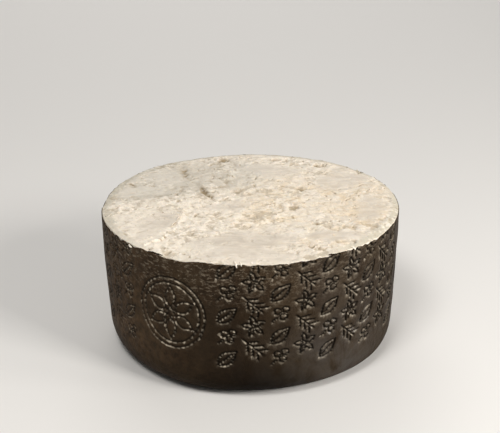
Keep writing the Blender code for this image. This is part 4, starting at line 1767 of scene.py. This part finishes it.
        # Kept as the glint mask (painted highlight) and the pit mask (painted shade).
        kept = wiring.kept(moved.outputs[0], "glint", shine)
        kept = wiring.kept(kept, "pit", shade)
        whole = wiring.node("GeometryNodeRealizeInstances", {"Geometry": kept})
        wiring.dress(target, whole.outputs[0], value["Finish"])
        return wiring.tree


# ------------ crumbs and slivers


# Least and most stretch of a crumb, how much small ones prevail, and the scale of their rags.
CRUMB_STRETCH = ((0.6, 0.5, 0.25), (1.7, 1.1, 0.6))
CRUMB_SKEW = 2.5
CRUMB_RAG_SCALE = 900.0


def litter_tree() -> NodeTree:
    """The tree that strews crumbs over the break.

    Returns:
        The geometry tree.
    """
    wiring, source, target = new_group(
        "strew_crumbs", "GeometryNodeTree",
        {"Geometry": "Geometry", "Ground": "Object", "Mask": "String", "Density": "Float",
         "Seed": "Int", "Smallest": "Float", "Largest": "Float", "Raggedness": "Float",
         "Finish": "Material"},
        {"Geometry": "Geometry"})
    value = source.outputs
    ground = wiring.node("GeometryNodeObjectInfo", {"Object": value["Ground"]})
    spots = wiring.node("GeometryNodeDistributePointsOnFaces",
                        {"Mesh": ground.outputs["Geometry"], "Seed": value["Seed"],
                         "Density": wiring.times(wiring.field(value["Mask"]), value["Density"])},
                        distribute_method="RANDOM")
    crumb = wiring.node("GeometryNodeMeshIcoSphere", {"Radius": 1.0, "Subdivisions": 2})
    turn = wiring.node("FunctionNodeRandomValue", {"Max": (math.tau, math.tau, math.tau), "Seed": 3},
                       data_type="FLOAT_VECTOR")
    luck = wiring.node("FunctionNodeRandomValue", {"Seed": 5}, data_type="FLOAT")
    size = wiring.remap(wiring.sum("POWER", luck.outputs[1], CRUMB_SKEW), 0.0, 1.0,
                        value["Smallest"], value["Largest"])
    stretch = wiring.node("FunctionNodeRandomValue",
                          {"Min": CRUMB_STRETCH[0], "Max": CRUMB_STRETCH[1], "Seed": 7},
                          data_type="FLOAT_VECTOR")
    scale = wiring.node("ShaderNodeVectorMath", {0: stretch.outputs[0], "Scale": size},
                        operation="SCALE")
    strewn = wiring.node("GeometryNodeInstanceOnPoints",
                         {"Points": spots.outputs[0], "Instance": crumb.outputs[0],
                          "Rotation": turn.outputs[0], "Scale": scale.outputs[0]})
    whole = wiring.node("GeometryNodeRealizeInstances", {"Geometry": strewn.outputs[0]})
    rough = wiring.node("ShaderNodeTexNoise", {"Scale": CRUMB_RAG_SCALE, "Detail": 1.0})
    centred = wiring.node("ShaderNodeVectorMath", {0: rough.outputs["Color"], 1: (0.5, 0.5, 0.5)},
                          operation="SUBTRACT")
    offset = wiring.node("ShaderNodeVectorMath", {0: centred.outputs[0],
                                                  "Scale": value["Raggedness"]}, operation="SCALE")
    ragged = wiring.node("GeometryNodeSetPosition",
                         {"Geometry": whole.outputs[0], "Offset": offset.outputs[0]})
    wiring.dress(target, ragged.outputs[0], value["Finish"])
    return wiring.tree


@dataclass(frozen=True)
class Litter:
    """Crumbs of one kind strewn over the break."""

    name: str
    slot: str
    mask: str
    density: float
    seed: int
    smallest: float
    largest: float
    raggedness: float = 0.7

    def build(self, ground: Object, tree: NodeTree,
              finish: Material) -> Object:
        """Strew the crumbs.

        Args:
            ground: The paste.
            tree: The tree that strews them.
            finish: Their material.

        Returns:
            The finished piece.
        """
        piece = new_object(self.name, bpy.data.meshes.new(self.name))
        run_tree(piece, tree, {
            "Ground": ground, "Mask": self.mask, "Density": self.density, "Seed": self.seed,
            "Smallest": self.smallest, "Largest": self.largest,
            "Raggedness": self.raggedness * self.largest, "Finish": finish})
        finish_piece(piece, self.slot)
        return piece


@dataclass(frozen=True)
class Sliver:
    """One thin splinter: angle, radius in mm and lift off the break in mm along it."""

    line: tuple
    width: float
    thickness: float
    rows: int = 9
    lean: float = 0.6

    def add(self, shape: BMesh, form: BreakForm) -> None:
        """Lay the splinter on the break.

        Args:
            shape: The mesh that it is added to.
            form: The break.
        """
        turn, reach, lift = np.array(self.line).T
        x = np.cos(np.radians(turn)) * MM
        y = np.sin(np.radians(turn)) * MM
        on_break = np.minimum(reach, RIM_SIDE)
        height = form.relief(x * on_break, y * on_break)["height"]
        line = np.column_stack((x * reach, y * reach, height + lift * MM))
        share = np.linspace(0.0, 1.0, self.rows)
        at = np.linspace(0.0, 1.0, len(line))
        middle = np.column_stack([np.interp(share, at, line[:, axis]) for axis in range(3)])
        way = np.gradient(middle, axis=0)
        way /= np.linalg.norm(way, axis=1)[:, None]
        outward = middle * (1.0, 1.0, 0.0)
        outward /= np.linalg.norm(outward, axis=1)[:, None]
        outward[:, 2] = self.lean
        across = np.cross(way, outward)
        across /= np.linalg.norm(across, axis=1)[:, None]
        outward = np.cross(across, way)
        start, run, power = 0.12, 0.83, 0.7
        taper = np.sin(math.pi * (start + run * share)) ** power
        much, often, shift = 0.25, 17.0, 9000.0
        wave = 1.0 + much * np.sin(share * often + self.width * shift)
        rings = []
        for row in range(len(share)):
            wide = across[row] * self.width / 2 * taper[row] * wave[row]
            deep = outward[row] * self.thickness / 2 * taper[row]
            rings.append([shape.verts.new(middle[row] + wide * math.cos(turn) + deep * math.sin(turn))
                          for turn in np.arange(SLIVER_SIDES) * math.tau / SLIVER_SIDES])
        for near, far in zip(rings, rings[1:]):
            for step in range(SLIVER_SIDES):
                ahead = (step + 1) % SLIVER_SIDES
                shape.faces.new((near[step], near[ahead], far[ahead], far[step]))
        shape.faces.new(rings[0][::-1])
        shape.faces.new(rings[-1])


@dataclass(frozen=True)
class Slivers:
    """Splinters of one kind along the rim."""

    name: str
    slot: str
    slivers: tuple

    def build(self, form: BreakForm, finish: Material) -> Object:
        """Build the splinters.

        Args:
            form: The break that they lie on.
            finish: Their material.

        Returns:
            The finished piece.
        """
        shape = bmesh.new()
        for sliver in self.slivers:
            sliver.add(shape, form)
        bmesh.ops.recalc_face_normals(shape, faces=shape.faces[:])
        return dressed_piece(mesh_of(self.name, shape), finish, self.slot)


PASTE_SLIVERS = (
    Sliver(((264.1, 143.8, 0.7), (264.6, 147.8, 0.9), (265.1, 150.5, -0.6), (265.4, 151.4, -2.5)),
           1.8 * MM, 0.9 * MM),
    Sliver(((220.2, 150.1, -1.3), (221.2, 150.9, -1.9), (222.1, 150.4, -2.3)), 2.0 * MM, 0.9 * MM),
    Sliver(((266.2, 144.7, 0.3), (266.7, 149.1, 0.2), (267.0, 150.6, -1.5)), 1.3 * MM, 0.7 * MM),
    Sliver(((309.6, 147.6, 0.8), (310.3, 150.4, 0.5), (310.3, 151.2, -1.0)), 1.8 * MM, 0.8 * MM),
    Sliver(((191.5, 67.0, 0.9), (197.0, 69.5, 1.5), (203.5, 74.0, 1.0)), 1.6 * MM, 0.8 * MM),
    Sliver(((206.0, 77.0, 0.6), (210.0, 81.0, 1.5), (213.0, 86.0, 0.8)), 2.2 * MM, 0.8 * MM),
    Sliver(((214.5, 88.0, 0.5), (216.0, 93.0, 1.3), (218.5, 98.0, 0.5)), 2.0 * MM, 0.8 * MM),
    Sliver(((199.4, 104.0, 0.2), (200.6, 99.0, 0.7), (201.9, 94.5, 0.2)), 1.2 * MM, 0.5 * MM),
    Sliver(((199.0, 83.0, 0.2), (201.5, 78.5, 0.6), (204.0, 74.5, 0.2)), 1.2 * MM, 0.5 * MM),
)
RIND_SLIVERS = (
    Sliver(((230.6, 149.6, 0.2), (232.6, 149.7, 0.5), (234.8, 149.3, 0.6), (237.2, 148.4, 0.5)),
           1.5 * MM, 1.0 * MM),
    Sliver(((298.8, 149.3, 0.2), (299.8, 149.6, 0.2), (301.0, 150.1, -0.2)), 1.3 * MM, 0.9 * MM),
)


# ------------ camera, light and floor


@dataclass
class Stage:
    """The plain floor, the soft light and the camera at the photograph's angle."""

    elevation: float = math.radians(22.59)
    distance: float = 1.3
    aside: float = -0.2 * MM
    aim_height: float = 127.4 * MM
    lens: float = 92.0
    floor_half: float = 6.0
    # Warm lights from the right, a paler one above the front and soft ones behind: name, place,
    # size, power, colour and the point that they face.
    lights: tuple = (
        ("key", (1.20, -1.05, 1.00), 0.50, 19.2, (1.0, 0.97, 0.93), (0.0, 0.0, 0.08)),
        ("side", (1.45, -0.45, 0.25), 0.30, 11.0, (1.0, 0.97, 0.93), (0.0, 0.0, 0.08)),
        ("front", (-0.42, -1.06, 1.75), 0.60, 18.4, (1.0, 0.985, 0.96), (0.0, 0.0, 0.08)),
        ("back", (-0.6, 3.0, 2.4), 2.4, 30.0, (1.0, 0.975, 0.945), (0.0, 0.0, 0.08)),
        ("far_floor", (0.0, 1.9, 1.6), 2.0, 11.0, (1.0, 0.99, 0.98), (0.0, 1.9, 0.0)))
    sky: Colour = (1.0, 0.99, 0.975, 1.0)
    sky_strength: float = 0.16

    def build(self) -> None:
        """Make the floor, the lights and the camera."""
        self._floor()
        self._lights()
        self._camera()

    def _floor(self) -> None:
        """A plain pale floor."""
        shape = bmesh.new()
        bmesh.ops.create_grid(shape, x_segments=1, y_segments=1, size=self.floor_half)
        mesh = mesh_of("floor", shape)
        material, _, shader = new_material("pale_floor")
        set_inputs(shader, {"Base Color": linear(230, 228, 225), "Roughness": 0.9,
                            "Specular IOR Level": 0.1})
        mesh.materials.append(material)
        new_object("floor", mesh)

    def _lights(self) -> None:
        """Square soft lights and the sky."""
        for name, place, size, power, colour, aim in self.lights:
            light = bpy.data.lights.new(name, "AREA")
            light.shape = "SQUARE"
            light.size = size
            light.energy = power
            light.color = colour
            lamp = bpy.data.objects.new(name, light)
            lamp.location = place
            lamp.rotation_euler = (Vector(place) - Vector(aim)).to_track_quat("Z", "Y").to_euler()
            bpy.context.scene.collection.objects.link(lamp)
        world = bpy.data.worlds.new("sky")
        world.use_nodes = True
        set_inputs(world.node_tree.nodes["Background"],
                   {"Color": self.sky, "Strength": self.sky_strength})
        bpy.context.scene.world = world
        bpy.context.scene.view_settings.view_transform = "Standard"

    def _camera(self) -> None:
        """The camera."""
        data = bpy.data.cameras.new("camera")
        data.lens = self.lens
        data.sensor_width = 36.0
        camera = bpy.data.objects.new("camera", data)
        camera.location = (self.aside, -self.distance * math.cos(self.elevation),
                           self.aim_height + self.distance * math.sin(self.elevation))
        camera.rotation_euler = (math.pi / 2 - self.elevation, 0.0, 0.0)
        bpy.context.scene.collection.objects.link(camera)
        bpy.context.scene.camera = camera


def main() -> None:
    """Build every piece round the frame."""
    logging.basicConfig(level=logging.INFO, format="%(message)s")
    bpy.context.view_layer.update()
    Stage().build()
    groups = SharedGroups()
    wheel = WheelForm()
    form = BreakForm(wheel)
    pale, dark = PasteFinish().build(groups), RindFinish().build(groups)
    paste = Paste(wheel, form).build(pale)
    Rind(wheel, form, Ornament()).build(dark)
    strewing = litter_tree()
    Litter("crumbs", "paste", "loose", 42000.0, 11, 0.35 * MM, 1.25 * MM).build(paste, strewing, pale)
    Litter("rind_crumbs", "rind", "rim", 3500.0, 4, 0.3 * MM, 0.8 * MM).build(paste, strewing, dark)
    Slivers("paste_slivers", "paste", PASTE_SLIVERS).build(form, pale)
    Slivers("rind_slivers", "rind", RIND_SLIVERS).build(form, dark)


if __name__ == "__main__":
    main()
